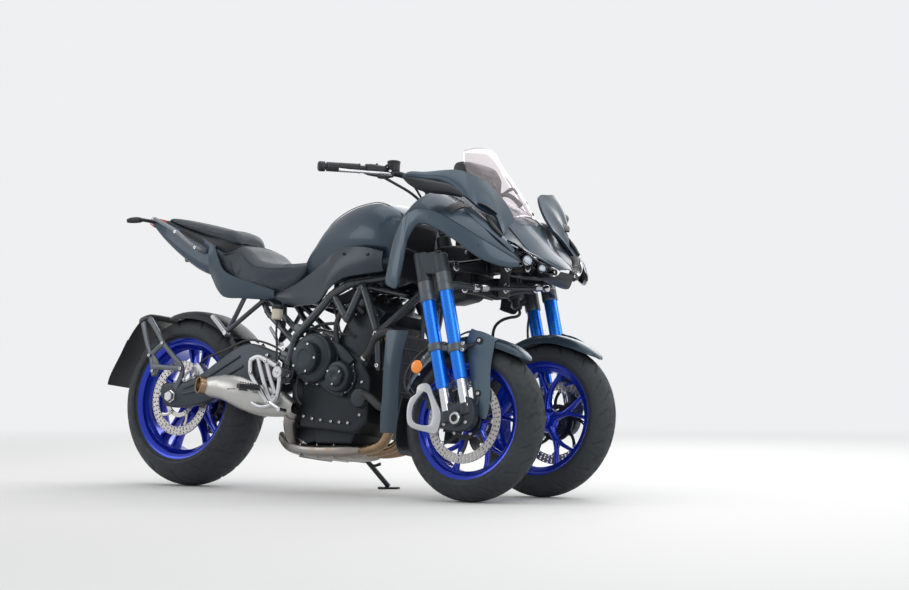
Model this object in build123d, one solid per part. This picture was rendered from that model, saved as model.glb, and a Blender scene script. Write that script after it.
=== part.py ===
from build123d import *
import math
import os

# Driving sizes, in millimetres and degrees. X runs forward from the rear axle, Y to the rider's left
# and Z up from the ground, with the machine upright. Each node is modelled so, and then leaned and steered
# to the way it parks.
WHEELBASE = 1510.0
TRACK = 410.0
CASTER = 20.0
AXIS_SETBACK = 24.4
LEAN = 7.75
STEER = 4.8
ORIGIN = (-695.0, -135.0)

REAR_RADIUS, REAR_HALF, REAR_CROWN = 320.4, 95.0, 100.0
REAR_FLANGE, REAR_SEAT, REAR_RIM_HALF = 230.0, 216.0, 75.0
FRONT_RADIUS, FRONT_HALF, FRONT_CROWN = 274.5, 60.0, 62.0
FRONT_FLANGE, FRONT_SEAT, FRONT_RIM_HALF = 204.0, 191.0, 47.0

LOWER_PIVOT = (1395.0, 0.0, 745.0)
UPPER_PIVOT = (1350.0, 0.0, 822.0)
ARM_HALF = TRACK / 2
TIE_ROD_X = 1452.0
HANDLEBAR_PIVOT = (1090.0, 0.0, 1050.0)
STAND_PIVOT = (700.0, 140.0, 167.0)
STAND_FOOT = (746.0, 280.0, 0.0)

FORK_ANGLE = 18.0
FORK_OUT = 107.0
FORK_Z = 679.0
FORK_ROWS = ((1336.0, 287.0, 383.0, 679.0, 746.0), (1417.0, 318.0, 418.0, 717.0, 780.0))
OUTER_TUBE_R, INNER_TUBE_R, COLLAR_R, LOBE_R = 24.0, 17.5, 28.0, 31.0

GAP = 0.3


def cosd(angle):
    return math.cos(math.radians(angle))


def sind(angle):
    return math.sin(math.radians(angle))


def tand(angle):
    return math.tan(math.radians(angle))


# The front axle's height is what lets both front tyres touch the ground as the machine parks.
REST_LIFT = REAR_CROWN * (1 - cosd(LEAN))


def tyre_bottom(axle_z):
    """Height of a front tyre's lowest point as parked, from its axle's height with the machine upright."""
    ahead = (cosd(CASTER), 0.0, sind(CASTER))
    foot_z = axle_z - AXIS_SETBACK * ahead[2]
    centre_z = foot_z + AXIS_SETBACK * cosd(STEER) * ahead[2]
    centre_y = AXIS_SETBACK * sind(STEER)
    axle = (-sind(STEER) * ahead[0], cosd(STEER), -sind(STEER) * ahead[2])
    axle_up = axle[2] * cosd(LEAN) - axle[1] * sind(LEAN)
    height = centre_z * cosd(LEAN) - centre_y * sind(LEAN) + REST_LIFT
    reach = (FRONT_RADIUS - FRONT_CROWN) * math.sqrt(1 - axle_up ** 2)
    return height - reach - FRONT_CROWN


FRONT_AXLE_Z = FRONT_RADIUS - tyre_bottom(FRONT_RADIUS) / cosd(LEAN)
FRONT_AXLE = (WHEELBASE, 0.0, FRONT_AXLE_Z)
AXIS_FOOT = (WHEELBASE - AXIS_SETBACK * cosd(CASTER), 0.0, FRONT_AXLE_Z - AXIS_SETBACK * sind(CASTER))
STEER_AXIS = (-sind(CASTER), 0.0, cosd(CASTER))
SWING_Y = ARM_HALF * (1 - cosd(LEAN))
SWING_Z = ARM_HALF * sind(LEAN)


def about(point, axis, angle):
    """Turn by an angle, right-handed, about an axis through a point."""
    at = Plane(origin=point, z_dir=axis).location
    return at * Rot(0, 0, angle) * at.inverse()


# Where each body stands as the machine parks: side is +1 on the left and -1 on the right.
FIXED = Pos(ORIGIN[0], ORIGIN[1], REST_LIFT) * Rot(-LEAN, 0, 0)
UPPER_ARM = FIXED * about(UPPER_PIVOT, (1, 0, 0), LEAN)
LOWER_ARM = FIXED * about(LOWER_PIVOT, (1, 0, 0), LEAN)
BARS = FIXED * about(HANDLEBAR_PIVOT, STEER_AXIS, STEER)


def carried(side):
    return FIXED * Pos(0, -side * SWING_Y, side * SWING_Z)


def steered(side):
    foot = (AXIS_FOOT[0], side * ARM_HALF, AXIS_FOOT[2])
    return carried(side) * about(foot, STEER_AXIS, STEER)


# The tie rod leans with the lower arm and has slid along it by the parked steering.
STEER_ARM = 130.0
TIE_SLIDE = STEER_ARM * math.radians(STEER)
TIE = LOWER_ARM * Pos(0, TIE_SLIDE, 0)


def rod(start, end, radius, bore=0.0):
    """Round bar or tube between two points."""
    a, b = Vector(*start), Vector(*end)
    plane = Plane(origin=a, z_dir=b - a)
    solid = Solid.make_cylinder(radius, (b - a).length, plane)
    if bore:
        solid = solid - Solid.make_cylinder(bore, (b - a).length, plane)
    return solid


def ruled(sections):
    """Solid through closed outlines, with straight lines from each to the next."""
    return Solid.make_loft([Wire.make_polygon(section) for section in sections], ruled=True)


def beam(start, end, size_a, size_b, up=(0, 1, 0)):
    """Tapered four-sided beam: each size is (along up, across)."""
    a, b = Vector(*start), Vector(*end)
    along = (b - a).normalized()
    tall = Vector(*up)
    tall = (tall - along * along.dot(tall)).normalized()
    wide = along.cross(tall)
    corners = ((-0.5, -0.5), (0.5, -0.5), (0.5, 0.5), (-0.5, 0.5))
    rings = [[p + tall * (s[0] * i) + wide * (s[1] * j) for i, j in corners] for p, s in ((a, size_a), (b, size_b))]
    return ruled(rings)


def plate(points, y0, y1, radius=0.0):
    """Outline in X and Z with its corners rounded, thick from y0 to y1."""
    low, high = min(y0, y1), max(y0, y1)
    wire = Wire.make_polygon([(x, low, z) for x, z in points])
    if radius:
        wire = wire.fillet_2d(radius, wire.vertices())
    return Solid.extrude(Face(wire), Vector(0, high - low, 0))


def turned(profile, centre, side=1):
    """Solid turned about a wheel's axle: rows of (offset along Y, radius)."""
    points = [(centre[0], centre[1] + side * y, centre[2] + r) for y, r in profile]
    return revolve(Face(Wire.make_polygon(points)), Axis(centre, (0, 1, 0)))


def joined(parts):
    whole = parts[0]
    for part in parts[1:]:
        whole = whole + part
    return whole


def mirrored(part):
    return mirror(part, Plane.XZ)


def both(part):
    """A piece and its mirror image on the other side."""
    return Compound([*part.solids(), *mirrored(part).solids()])


def less(part, *others):
    """Part with what carries it cut away, without the crumbs."""
    for other in others:
        part = part - other
    solids = [s for s in part.solids() if s.volume > 200]
    return Compound(solids) if len(solids) > 1 else solids[0]


# Wheels
def tyre(centre, radius, half, crown, flange, seat, rim_half):
    """Hollow tyre: a round tread, two side walls and beads against the rim's flanges."""
    edge = radius - crown + math.sqrt(crown ** 2 - half ** 2)
    lip = rim_half + 6
    x, y, z = centre
    top = z + radius

    def at(offset, r):
        return (x, y + offset, z + r)

    outer = Edge.make_three_point_arc(at(-half, edge), (x, y, top), at(half, edge))
    wall = [Edge.make_three_point_arc(at(s * half, edge), at(s * (half - 2), (edge + flange) / 2 + 4), at(s * lip, flange + 1))
            for s in (1, -1)]
    beads = []
    for s in (1, -1):
        rows = [(lip, flange + 1), (rim_half, flange + 1), (rim_half, seat), (rim_half - 14, seat)]
        beads += [Edge.make_line(at(s * a[0], a[1]), at(s * b[0], b[1])) for a, b in zip(rows, rows[1:])]
    inner = Edge.make_three_point_arc(at(-(rim_half - 14), seat), (x, y, top - 14), at(rim_half - 14, seat))
    wire = Wire([outer, *wall, *beads, inner])
    return revolve(Face(wire), Axis(centre, (0, 1, 0)))


def barrel(centre, flange, seat, rim_half, well):
    """Rim ring: flanges, bead seats and the well between them."""
    h = rim_half
    profile = [(-h - 5, flange), (-h, flange), (-h, seat), (-h + 15, seat), (-h * 0.55, well), (h * 0.55, well),
               (h - 15, seat), (h, seat), (h, flange), (h + 5, flange), (h + 5, seat + 1), (h - 4, seat - 8),
               (h * 0.6, well - 8), (-h * 0.6, well - 8), (-h + 4, seat - 8), (-h - 5, seat + 1)]
    return turned(profile, centre)


def polar(centre, r, angle, offset=0.0):
    return (centre[0] + r * cosd(angle), centre[1] + offset, centre[2] + r * sind(angle))


def rear_rim():
    centre = (0.0, 0.0, REAR_RADIUS)
    parts = [barrel(centre, REAR_FLANGE, REAR_SEAT, REAR_RIM_HALF, 196.0),
             turned([(-62, 14.1), (62, 14.1), (62, 38), (30, 52), (-30, 52), (-62, 38)], centre)]
    for step in range(5):
        middle = 90 + 72 * step
        for turn in (-1, 1):
            parts.append(beam(polar(centre, 40, middle + 20 * turn), polar(centre, 192, middle + 9 * turn), (60, 24), (44, 15)))
    return less(joined(parts), rod((0, -70, REAR_RADIUS), (0, 70, REAR_RADIUS), 14.1))


def front_rim(side):
    centre = (WHEELBASE, side * ARM_HALF, FRONT_AXLE_Z)
    parts = [barrel(centre, FRONT_FLANGE, FRONT_SEAT, FRONT_RIM_HALF, 176.0),
             turned([(-40, 12.1), (44, 12.1), (44, 30), (20, 40), (-20, 40), (-40, 30)], centre, side)]
    for step in range(5):
        middle = 90 + 72 * step
        knee = polar(centre, 96, middle)
        parts.append(beam(polar(centre, 30, middle), knee, (46, 30), (34, 24)))
        for turn in (-1, 1):
            parts.append(beam(polar(centre, 88, middle), polar(centre, 174, middle + 15 * turn), (34, 20), (26, 14)))
    return less(joined(parts), rod((centre[0], centre[1] - 60, centre[2]), (centre[0], centre[1] + 60, centre[2]), 12.1))


def brake_disc(centre, offset, outer, inner, thick, hub, spokes):
    """Disc ring on a carrier of short arms: offset is along Y from the wheel's middle."""
    at = (centre[0], centre[1] + offset, centre[2])
    ring = turned([(-thick / 2, inner), (thick / 2, inner), (thick / 2, outer), (-thick / 2, outer)], at)
    boss = turned([(-thick, hub - 12), (thick, hub - 12), (thick, hub), (-thick, hub)], at)
    arms = [beam(polar(at, hub - 4, 360 / spokes * k + 20), polar(at, inner + 8, 360 / spokes * k), (thick * 0.9, 14), (thick * 0.9, 10))
            for k in range(spokes)]
    return joined([ring, boss, *arms])


# Forks, one pair of tubes outside each front wheel
def tube_point(row, z, side):
    return (row + (FORK_Z - z) * tand(FORK_ANGLE), side * (ARM_HALF + FORK_OUT), z)


def fork_tubes(side):
    legs = []
    for row, foot, slider, top, collar in FORK_ROWS:
        legs.append(rod(tube_point(row, foot, side), tube_point(row, slider, side), INNER_TUBE_R)
                    + rod(tube_point(row, slider, side), tube_point(row, collar, side), OUTER_TUBE_R))
    return legs


def steer_local(side):
    foot = (AXIS_FOOT[0], side * ARM_HALF, AXIS_FOOT[2])
    return Plane(origin=foot, x_dir=(cosd(CASTER), 0, sind(CASTER)), z_dir=STEER_AXIS).location


STEM_R = 14.0
BALL_R = 13.0
CARRIER_LOW, CARRIER_HIGH = 470.0, 617.0


def axis_x(z):
    return AXIS_FOOT[0] - (z - AXIS_FOOT[2]) * tand(CASTER)


def fork(side):
    """Cast top bracket, stem, lower bridge, mid clamp, axle foot and caliper of one fork."""
    y = side * (ARM_HALF + FORK_OUT)
    local = steer_local(side)
    parts = [local * Solid.make_cylinder(STEM_R, 205, Plane(origin=(0, 0, 433)))]
    parts.append(local * Pos(0, side * 22, 631) * Box(62, 122, 15))
    parts.append(local * Solid.make_cylinder(26, 20, Plane(origin=(0, 0, 434))))
    parts.append(local * Pos(0, side * 41, 444) * Box(58, 82, 20))
    rows = [row[0] for row in FORK_ROWS]
    for row, foot, slider, top, collar in FORK_ROWS:
        parts.append(rod(tube_point(row, top, side), tube_point(row, collar, side), COLLAR_R))
        parts.append(rod(tube_point(row, collar, side), tube_point(row, 842, side), LOBE_R))
    parts.append(beam(tube_point(rows[0], 812, side), tube_point(rows[1], 812, side), (56, 60), (56, 60)))
    inner = side * (ARM_HALF + 60)
    parts.append(ruled([[(1282, y, 802), (1390, y, 802), (1390, y, 846), (1282, y, 846)],
                        [(1268, inner, 834), (1312, inner, 834), (1312, inner, 864), (1268, inner, 864)]]))
    parts.append(beam(tube_point(rows[0], 712, side), tube_point(rows[1], 735, side), (26, 34), (26, 34)))
    parts.append(beam((1350, y, 715), (1350, side * (ARM_HALF + 60), 690), (26, 90), (26, 70), (0, 0, 1)))
    knuckle = (TIE_ROD_X, side * (ARM_HALF + 34), LOWER_PIVOT[2])
    parts.append(beam((1412, y, 738), knuckle, (24, 30), (20, 20), (0, 0, 1)))
    parts.append(rod((TIE_ROD_X, side * (ARM_HALF + BALL_R + 4), LOWER_PIVOT[2]), (TIE_ROD_X, side * (ARM_HALF + 42), LOWER_PIVOT[2]), 9))
    top = joined(parts)
    clamp = joined([rod(tube_point(row[0], 507, side), tube_point(row[0], 529, side), OUTER_TUBE_R + 6) for row in FORK_ROWS]
                   + [beam(tube_point(rows[0], 518, side), tube_point(rows[1], 518, side), (30, 20), (30, 20))])
    foot_rows = [(1440, 318), (1446, 288), (1476, 262), (1496, 244), (1528, 244), (1560, 256), (1570, 290),
                 (1556, 342), (1520, 350), (1492, 322), (1470, 340)]
    foot = plate(foot_rows, y - side * 17, y + side * 17, 6)
    axle = rod((WHEELBASE, y + side * 22, FRONT_AXLE_Z), (WHEELBASE, side * (ARM_HALF - 46), FRONT_AXLE_Z), 12.05)
    nut = rod((WHEELBASE, y + side * 16, FRONT_AXLE_Z), (WHEELBASE, y + side * 26, FRONT_AXLE_Z), 18)
    cap = rod((WHEELBASE, side * (ARM_HALF - 47), FRONT_AXLE_Z), (WHEELBASE, side * (ARM_HALF - 41), FRONT_AXLE_Z), 20)
    tie = beam((1460, y - side * 8, 322), (1424, y - side * 26, 352), (26, 34), (44, 52))
    body = plate([(1384, 330), (1400, 296), (1440, 312), (1452, 372), (1428, 396), (1392, 380)], y - side * 62, y - side * 16, 8)
    slot = turned([(-8, 0), (8, 0), (8, 156), (-8, 156)], (WHEELBASE, side * (ARM_HALF + 68), FRONT_AXLE_Z))
    bottom = joined([foot, axle, nut, cap, tie, body]) - slot + axle
    bore = rod((WHEELBASE, y + side * 30, FRONT_AXLE_Z), (WHEELBASE, side * (ARM_HALF - 50), FRONT_AXLE_Z), 7)
    tubes = fork_tubes(side)
    return less(Compound([*top.solids(), *clamp.solids(), *(bottom - bore).solids()]), *tubes)


FENDER_R = 292.0


def fender(side):
    """Front fender and its rear flap: one thin arched shell over the tyre, with a shield down the fork."""
    centre = (WHEELBASE, side * ARM_HALF, FRONT_AXLE_Z)
    half, wall = 66.0, 3.0
    outer = [(-half, FENDER_R - 34), (-half, FENDER_R - 12), (-half + 18, FENDER_R - 1), (0, FENDER_R + 3),
             (half - 18, FENDER_R - 1), (half, FENDER_R - 12), (half, FENDER_R - 34)]
    inner = [(y - math.copysign(wall, y) if abs(y) > 1 else y, r - wall) for y, r in outer]
    inner[0], inner[-1] = (-half + wall, FENDER_R - 34), (half - wall, FENDER_R - 34)
    points = [(centre[0] + r, centre[1] + y, centre[2]) for y, r in outer + inner[::-1]]
    shell = revolve(Face(Wire.make_polygon(points)), Axis(centre, (0, -1, 0)), 160)
    shell = about(centre, (0, -1, 0), 42) * shell
    y = side * (ARM_HALF + 74)
    shield = plate([(1470, 546), (1560, 540), (1600, 470), (1612, 400), (1600, 330), (1580, 300), (1560, 310), (1545, 420), (1500, 500)],
                   y, y + side * 3, 6)
    stay = rod((1524, side * (ARM_HALF + 60), 540), (1524, y + side * 2, 520), 6)
    arm_stay = beam((1476, side * (ARM_HALF + FORK_OUT - 14), 518), (1530, y + side, 518), (24, 14), (22, 6))
    foot_stay = rod((1556, side * (ARM_HALF + FORK_OUT - 8), 306), (1578, y + side * 2, 322), 6)
    return joined([shell, shield, stay, arm_stay, foot_stay])


# Arms that let the machine lean
def carrier(side):
    """Tube round a fork's stem, with a forward pin for each arm."""
    local = steer_local(side)
    y = side * ARM_HALF
    body = local * Solid.make_cylinder(27, CARRIER_HIGH - CARRIER_LOW, Plane(origin=(0, 0, CARRIER_LOW)))
    parts = [body]
    for pivot, reach in ((UPPER_PIVOT, 1326.0), (LOWER_PIVOT, 1371.0)):
        parts.append(rod((axis_x(pivot[2]), y, pivot[2]), (reach, y, pivot[2]), 17))
    parts.append(rod((1320, y, UPPER_PIVOT[2]), (1374, y, UPPER_PIVOT[2]), 10))
    parts.append(rod((1366, y, LOWER_PIVOT[2]), (1419, y, LOWER_PIVOT[2]), 10))
    whole = joined(parts)
    return less(whole, local * Solid.make_cylinder(STEM_R + 0.06, 300, Plane(origin=(0, 0, CARRIER_LOW - 50))))


def arm(pivot, end_bore, deep):
    """Cast arm across the machine: deep hub in the middle, a boss at each end."""
    x, _, z = pivot
    front, rear = x + 17, x - 17
    parts = [rod((rear - 2, 0, z), (front + 2, 0, z), 34)]
    for s in (1, -1):
        ring_a = [(rear, 0, z - deep), (front, 0, z - deep), (front, 0, z + 32), (rear, 0, z + 32)]
        ring_b = [(rear + 3, s * 110, z - deep * 0.72), (front - 3, s * 110, z - deep * 0.72),
                  (front - 3, s * 110, z + 21), (rear + 3, s * 110, z + 21)]
        ring_c = [(rear + 3, s * (ARM_HALF - 4), z - 17), (front - 3, s * (ARM_HALF - 4), z - 17),
                  (front - 3, s * (ARM_HALF - 4), z + 17), (rear + 3, s * (ARM_HALF - 4), z + 17)]
        parts.append(ruled([ring_a, ring_b, ring_c]))
        parts.append(rod((rear, s * ARM_HALF, z), (front, s * ARM_HALF, z), 20))
    whole = joined(parts) - rod((rear - 9, 0, z), (front + 9, 0, z), 15.06)
    for s in (1, -1):
        whole = whole - rod((rear - 9, s * ARM_HALF, z), (front + 9, s * ARM_HALF, z), end_bore)
    return whole


def tie_rod():
    """Bar with an adjuster at each end and a ball that faces its fork's steering arm."""
    x, _, z = (TIE_ROD_X, 0, LOWER_PIVOT[2])
    parts = [rod((x, 4 - ARM_HALF, z), (x, ARM_HALF - 4, z), 7.5)]
    for s in (1, -1):
        parts.append(Pos(x, s * ARM_HALF, z) * Sphere(BALL_R))
        parts.append(rod((x, s * (ARM_HALF - 70), z), (x, s * (ARM_HALF - 34), z), 11))
    return joined(parts)


# Handlebar
def handlebar():
    """Tapered bar on its risers, with grips, levers, fluid pot and switch housings."""
    x, z = HANDLEBAR_PIVOT[0], HANDLEBAR_PIVOT[2]
    bends = [(1072, 0, 1092), (1072, 44, 1092), (1048, 150, 1127), (962, 287, 1127), (856, 404, 1114)]
    path = FilletPolyline(*bends, radius=40)
    bar = sweep(Plane(origin=bends[0], z_dir=(0, 1, 0)) * Circle(11), path)
    right = mirrored(bar)
    parts = [bar, right]
    for s in (1, -1):
        parts.append(rod((x - 16, s * 30, 1038), (1074, s * 30, 1093), 15))
        parts.append(rod((950, s * 300.2, 1125.5), (864, s * 395.3, 1115), 16.5))
        parts.append(rod((865, s * 394, 1115.2), (848, s * 412.8, 1113), 19))
        parts.append(rod((1004, s * 220.2, 1127), (966, s * 280.6, 1127), 21))
        parts.append(beam((1000, s * 238, 1119), (1066, s * 262, 1111), (26, 24), (22, 18), (0, 0, 1)))
        parts.append(beam((1058, s * 252, 1111), (942, s * 424, 1096), (14, 16), (8, 10), (0, 0, 1)))
    parts.append(rod((1032, -206, 1130), (1028, -206, 1168), 22))
    parts.append(rod((1034, -206, 1136), (1006, -214, 1127), 11))
    parts.append(rod((x - 120 * -sind(CASTER), 0, z - 120 * cosd(CASTER)), (x - 3, 0, z - 8), 14))
    clamp = Plane(origin=(x - 8, 0, 1046), x_dir=(cosd(CASTER), 0, sind(CASTER)), z_dir=STEER_AXIS).location
    parts.append(clamp * Box(56, 104, 18))
    return joined(parts)


# Side stand
UPRIGHT = Rot(LEAN, 0, 0) * Pos(0, 0, -REST_LIFT)
STAND_BACK = Vector(-1, 0.12, 0.03)
EAR_R, EAR_HALF, EAR_PIN = 17.0, 9.0, 6.0


def stand_line():
    """Pivot, foot and the hinge's place: its axis is square to the leg both deployed and folded back."""
    pivot = Vector(*STAND_PIVOT)
    foot = (UPRIGHT * Pos(*STAND_FOOT)).position
    axis = (foot - pivot).cross(STAND_BACK).normalized()
    return pivot, foot, Plane(origin=pivot, z_dir=axis).location


def side_stand():
    """Leg, foot and a lug for the rider's toe, modelled where it rests, deployed."""
    pivot, foot, hinge = stand_line()
    heel = (UPRIGHT * Pos(STAND_FOOT[0], STAND_FOOT[1], 11)).position
    toe = (UPRIGHT * Pos(STAND_FOOT[0] + 62, STAND_FOOT[1] + 34, 5)).position
    leg = rod(pivot, heel, 10)
    pad = UPRIGHT * Pos(STAND_FOOT[0] + 4, STAND_FOOT[1] + 2, 4) * Rot(0, 0, 25) * Box(66, 40, 8)
    ear = hinge * Solid.make_cylinder(EAR_R, 2 * EAR_HALF, Plane(origin=(0, 0, -EAR_HALF)))
    lug = beam(pivot + (foot - pivot) * 0.35, pivot + (toe - pivot) * 0.55 + Vector(24, 0, 20), (10, 14), (8, 10))
    return joined([leg, pad, ear, lug]) - hinge * Solid.make_cylinder(EAR_PIN, 60, Plane(origin=(0, 0, -30)))


def stand_lug():
    """Bracket under the crankcase with the stand's pin, beside its ear."""
    pivot, _, hinge = stand_line()
    pin = hinge * Solid.make_cylinder(EAR_PIN - 0.06, 34, Plane(origin=(0, 0, -14)))
    cheek = hinge * Solid.make_cylinder(EAR_R, 9, Plane(origin=(0, 0, EAR_HALF + 4)))
    centre = (hinge * Pos(0, 0, EAR_HALF + 9)).position
    web = beam(centre, (700, 118, 240), (22, 8), (40, 20), (1, 0, 0))
    return joined([cheek, pin, web])


# Fixed body
def trellis_frame():
    """Steel tube trellis: rows of start and end in X, Y, Z for the left side."""
    rails = [((590, 166, 430), (618, 166, 545)), ((618, 166, 545), (772, 165, 700)), ((772, 165, 700), (850, 160, 742)),
             ((850, 160, 742), (1100, 62, 800)), ((789, 160, 690), (855, 165, 612)), ((855, 165, 612), (900, 150, 735)),
             ((905, 150, 735), (1000, 160, 560)), ((1000, 160, 560), (1106, 62, 720)), ((1000, 160, 560), (1012, 150, 440))]
    tubes = []
    for a, b in rails:
        tubes.append(rod(a, b, 15))
        tubes.append(Pos(*b) * Sphere(15.5))
    side = joined(tubes)
    pivot = rod((556, 151, 440), (556, 170, 440), 40) + plate([(520, 400), (600, 380), (620, 470), (606, 520), (570, 500), (530, 470)], 152, 166, 8)
    side = side + pivot
    cross = [rod((612, -160, 582), (612, 160, 582), 14), rod((880, -152, 738), (880, 152, 738), 14)]
    ties = [rod((612, s * 160, 582), (640, s * 160, 568), 12) for s in (1, -1)]
    mounts = [((1000, 160, 560), (962, 124, 568)), ((612, 160, 500), (664, 130, 500)), ((880, 60, 738), (880, 60, 790)),
              ((700, 60, 676), (700, 60, 790))]
    mounts = [rod((a[0], s * a[1], a[2]), (b[0], s * b[1], b[2]), 10) for a, b in mounts for s in (1, -1)]
    cross.append(rod((700, -150, 676), (700, 150, 676), 11))
    return joined([side, mirrored(side), *cross, *ties, *mounts])


def frame_head():
    """Cast head that carries the arms: a block behind them, two pivot pins and a nose plate ahead of them."""
    block = plate([(1090, 706), (1296, 706), (1312, 740), (1300, 856), (1280, 880), (1110, 872), (1088, 800)], -48, 48, 12)
    parts = [block]
    for pivot in (UPPER_PIVOT, LOWER_PIVOT):
        parts.append(rod((1280, 0, pivot[2]), (1432, 0, pivot[2]), 15))
    parts.append(rod((1290, 0, UPPER_PIVOT[2]), (1328, 0, UPPER_PIVOT[2]), 28))
    parts.append(rod((1290, 0, LOWER_PIVOT[2]), (1326, 0, LOWER_PIVOT[2]), 28))
    parts.append(rod((1290, 0, LOWER_PIVOT[2]), (1373, 0, LOWER_PIVOT[2]), 18))
    parts.append(rod((1372, 0, UPPER_PIVOT[2]), (1424, 0, UPPER_PIVOT[2]), 24))
    parts.append(plate([(1420, 716), (1434, 716), (1434, 850), (1420, 850)], -34, 34))
    neck_low = (1133, 0, 930)
    parts.append(rod((1150, 0, 862), neck_low, 26))
    stay = [(1236, 0, 868), (1312, 0, 926), (1480, 0, 926), (1610, 0, 872)]
    parts += [rod(a, b, 10) for a, b in zip(stay, stay[1:])] + [Pos(*at) * Sphere(10.2) for at in stay[1:3]]
    parts.append(rod((1596, -130, 836), (1596, 130, 836), 9))
    parts.append(rod((1596, 0, 832), (1598, 0, 880), 9))
    parts += [rod((1112, s * 40, 846), (1176, s * 332, 852), 9) for s in (1, -1)]
    return joined(parts) - rod((1131, 0, 937), (1165, 0, 843), 15)


def subframe():
    """Seat rails and their braces, left side rows of start and end."""
    rails = [((700, 118, 676), (480, 100, 706)), ((480, 100, 706), (200, 80, 790)), ((200, 80, 790), (-120, 56, 945)),
             ((600, 118, 560), (330, 90, 750)), ((590, 122, 520), (420, 105, 640)), ((420, 105, 640), (330, 90, 750))]
    side = joined([rod(a, b, 11) for a, b in rails] + [Pos(*b) * Sphere(11.3) for a, b in rails[:2]])
    cross = [rod((480, -100, 706), (480, 100, 706), 10), rod((200, -80, 790), (200, 80, 790), 10),
             rod((-118, -56, 944), (-118, 56, 944), 9)]
    posts = [((40, 68, 868), (40, 68, 950)), ((-60, 59, 916), (-60, 56, 850)), ((480, 100, 706), (480, 100, 740))]
    posts = [rod((a[0], s * a[1], a[2]), (b[0], s * b[1], b[2]), 8) for a, b in posts for s in (1, -1)]
    return joined([side, mirrored(side), *cross, *posts])


def engine_block():
    """Crankcase, leaning cylinders and head, and the sump below."""
    case = plate([(655, 236), (900, 214), (950, 250), (948, 400), (900, 470), (690, 560), (655, 548)], -140, 140, 14)
    gearbox = plate([(570, 300), (600, 240), (680, 236), (680, 548), (612, 540), (562, 470)], -98, 92, 14)
    bank = plate([(760, 470), (900, 400), (985, 560), (965, 610), (850, 650)], -132, 132, 10)
    sump = plate([(660, 256), (880, 240), (850, 176), (690, 172)], -92, 92, 8)
    return joined([case, gearbox, bank, sump])


def engine_covers():
    """Round clutch and generator covers, a smaller side cover and the cam cover's edge."""
    parts = []
    for s, rows in ((-1, ((722, 470, 90, 34), (714, 466, 60, 50), (836, 404, 58, 38), (836, 404, 38, 52))),
                    (1, ((760, 430, 84, 34), (760, 430, 60, 54)))):
        for x, z, r, out in rows:
            parts.append(rod((x, s * 140, z), (x, s * (140 + out), z), r))
    cam = plate([(858, 652), (968, 612), (988, 640), (880, 690)], -128, 128, 8)
    return Compound([*joined(parts[:4]).solids(), *joined(parts[4:]).solids(), *cam.solids()])


def radiator():
    """Upright core ahead of the engine, between curved side shrouds."""
    core = ruled([[(1082, y, 250), (1122, y, 250), (1122, y, 560), (1082, y, 560)] for y in (-168, 168)])
    shroud = ruled([[(x0, y, z), (x1, y, z), (x1, y + 5, z), (x0, y + 5, z)]
                    for x0, x1, y, z in ((1064, 1150, 184, 200), (1070, 1146, 190, 330), (1066, 1148, 192, 480), (1056, 1160, 182, 572))])
    wall = ruled([[(1082, 160, 252), (1100, 160, 252), (1100, 190, 252), (1082, 190, 252)],
                  [(1082, 160, 556), (1100, 160, 556), (1100, 186, 556), (1082, 186, 556)]])
    stays = [rod((1104, s * 38, 550), (1104, s * 38, 712), 9) for s in (1, -1)]
    return joined([core, shroud, mirrored(shroud), wall, mirrored(wall), *stays])


def exhaust_pipes():
    """Three header pipes down the front into a flat collector under the engine, and the pipe to the silencer."""
    parts = []
    for y in (-96, -4, 88):
        path = FilletPolyline((975, y, 560), (1046, y, 500), (1040, y * 0.9, 186), (860, y * 0.5, 150), radius=[48, 60])
        parts.append(Solid.sweep(Face(Wire.make_circle(19, Plane(origin=(975, y, 560), z_dir=(path % 0)))), path))
    rings = []
    for x, half_y, low, high in ((880, 74, 132, 170), (800, 92, 116, 168), (640, 92, 116, 166), (520, 60, 140, 190), (470, 40, 170, 214)):
        rings.append([(x, -half_y, low), (x, half_y, low), (x, half_y + 10, (low + high) / 2), (x, half_y, high), (x, -half_y, high),
                      (x, -half_y - 10, (low + high) / 2)])
    pan = ruled(rings)
    link = rod((560, -40, 170), (610, -150, 262), 24)
    return joined([pan, link, *parts])


def silencer():
    """Short oval silencer: rows of X, height of the middle, half height, half width and Y."""
    rows = ((632, 286, 22, 24, -150), (590, 296, 34, 34, -158), (473, 313, 56, 42, -178), (400, 335, 59, 46, -189),
            (320, 352, 44, 44, -192), (222, 352, 30, 38, -194))
    rings = []
    for x, z, tall, wide, y in rows:
        rings.append([(x, y + wide * cosd(a), z + tall * sind(a)) for a in range(0, 360, 30)])
    body = ruled(rings)
    mouth = [[(x, -194 + 30 * cosd(a), 352 + 23 * sind(a)) for a in range(0, 360, 30)] for x in (215, 300)]
    return body - ruled(mouth) + rod((584, -176, 316), (584, -232, 336), 8)


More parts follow.
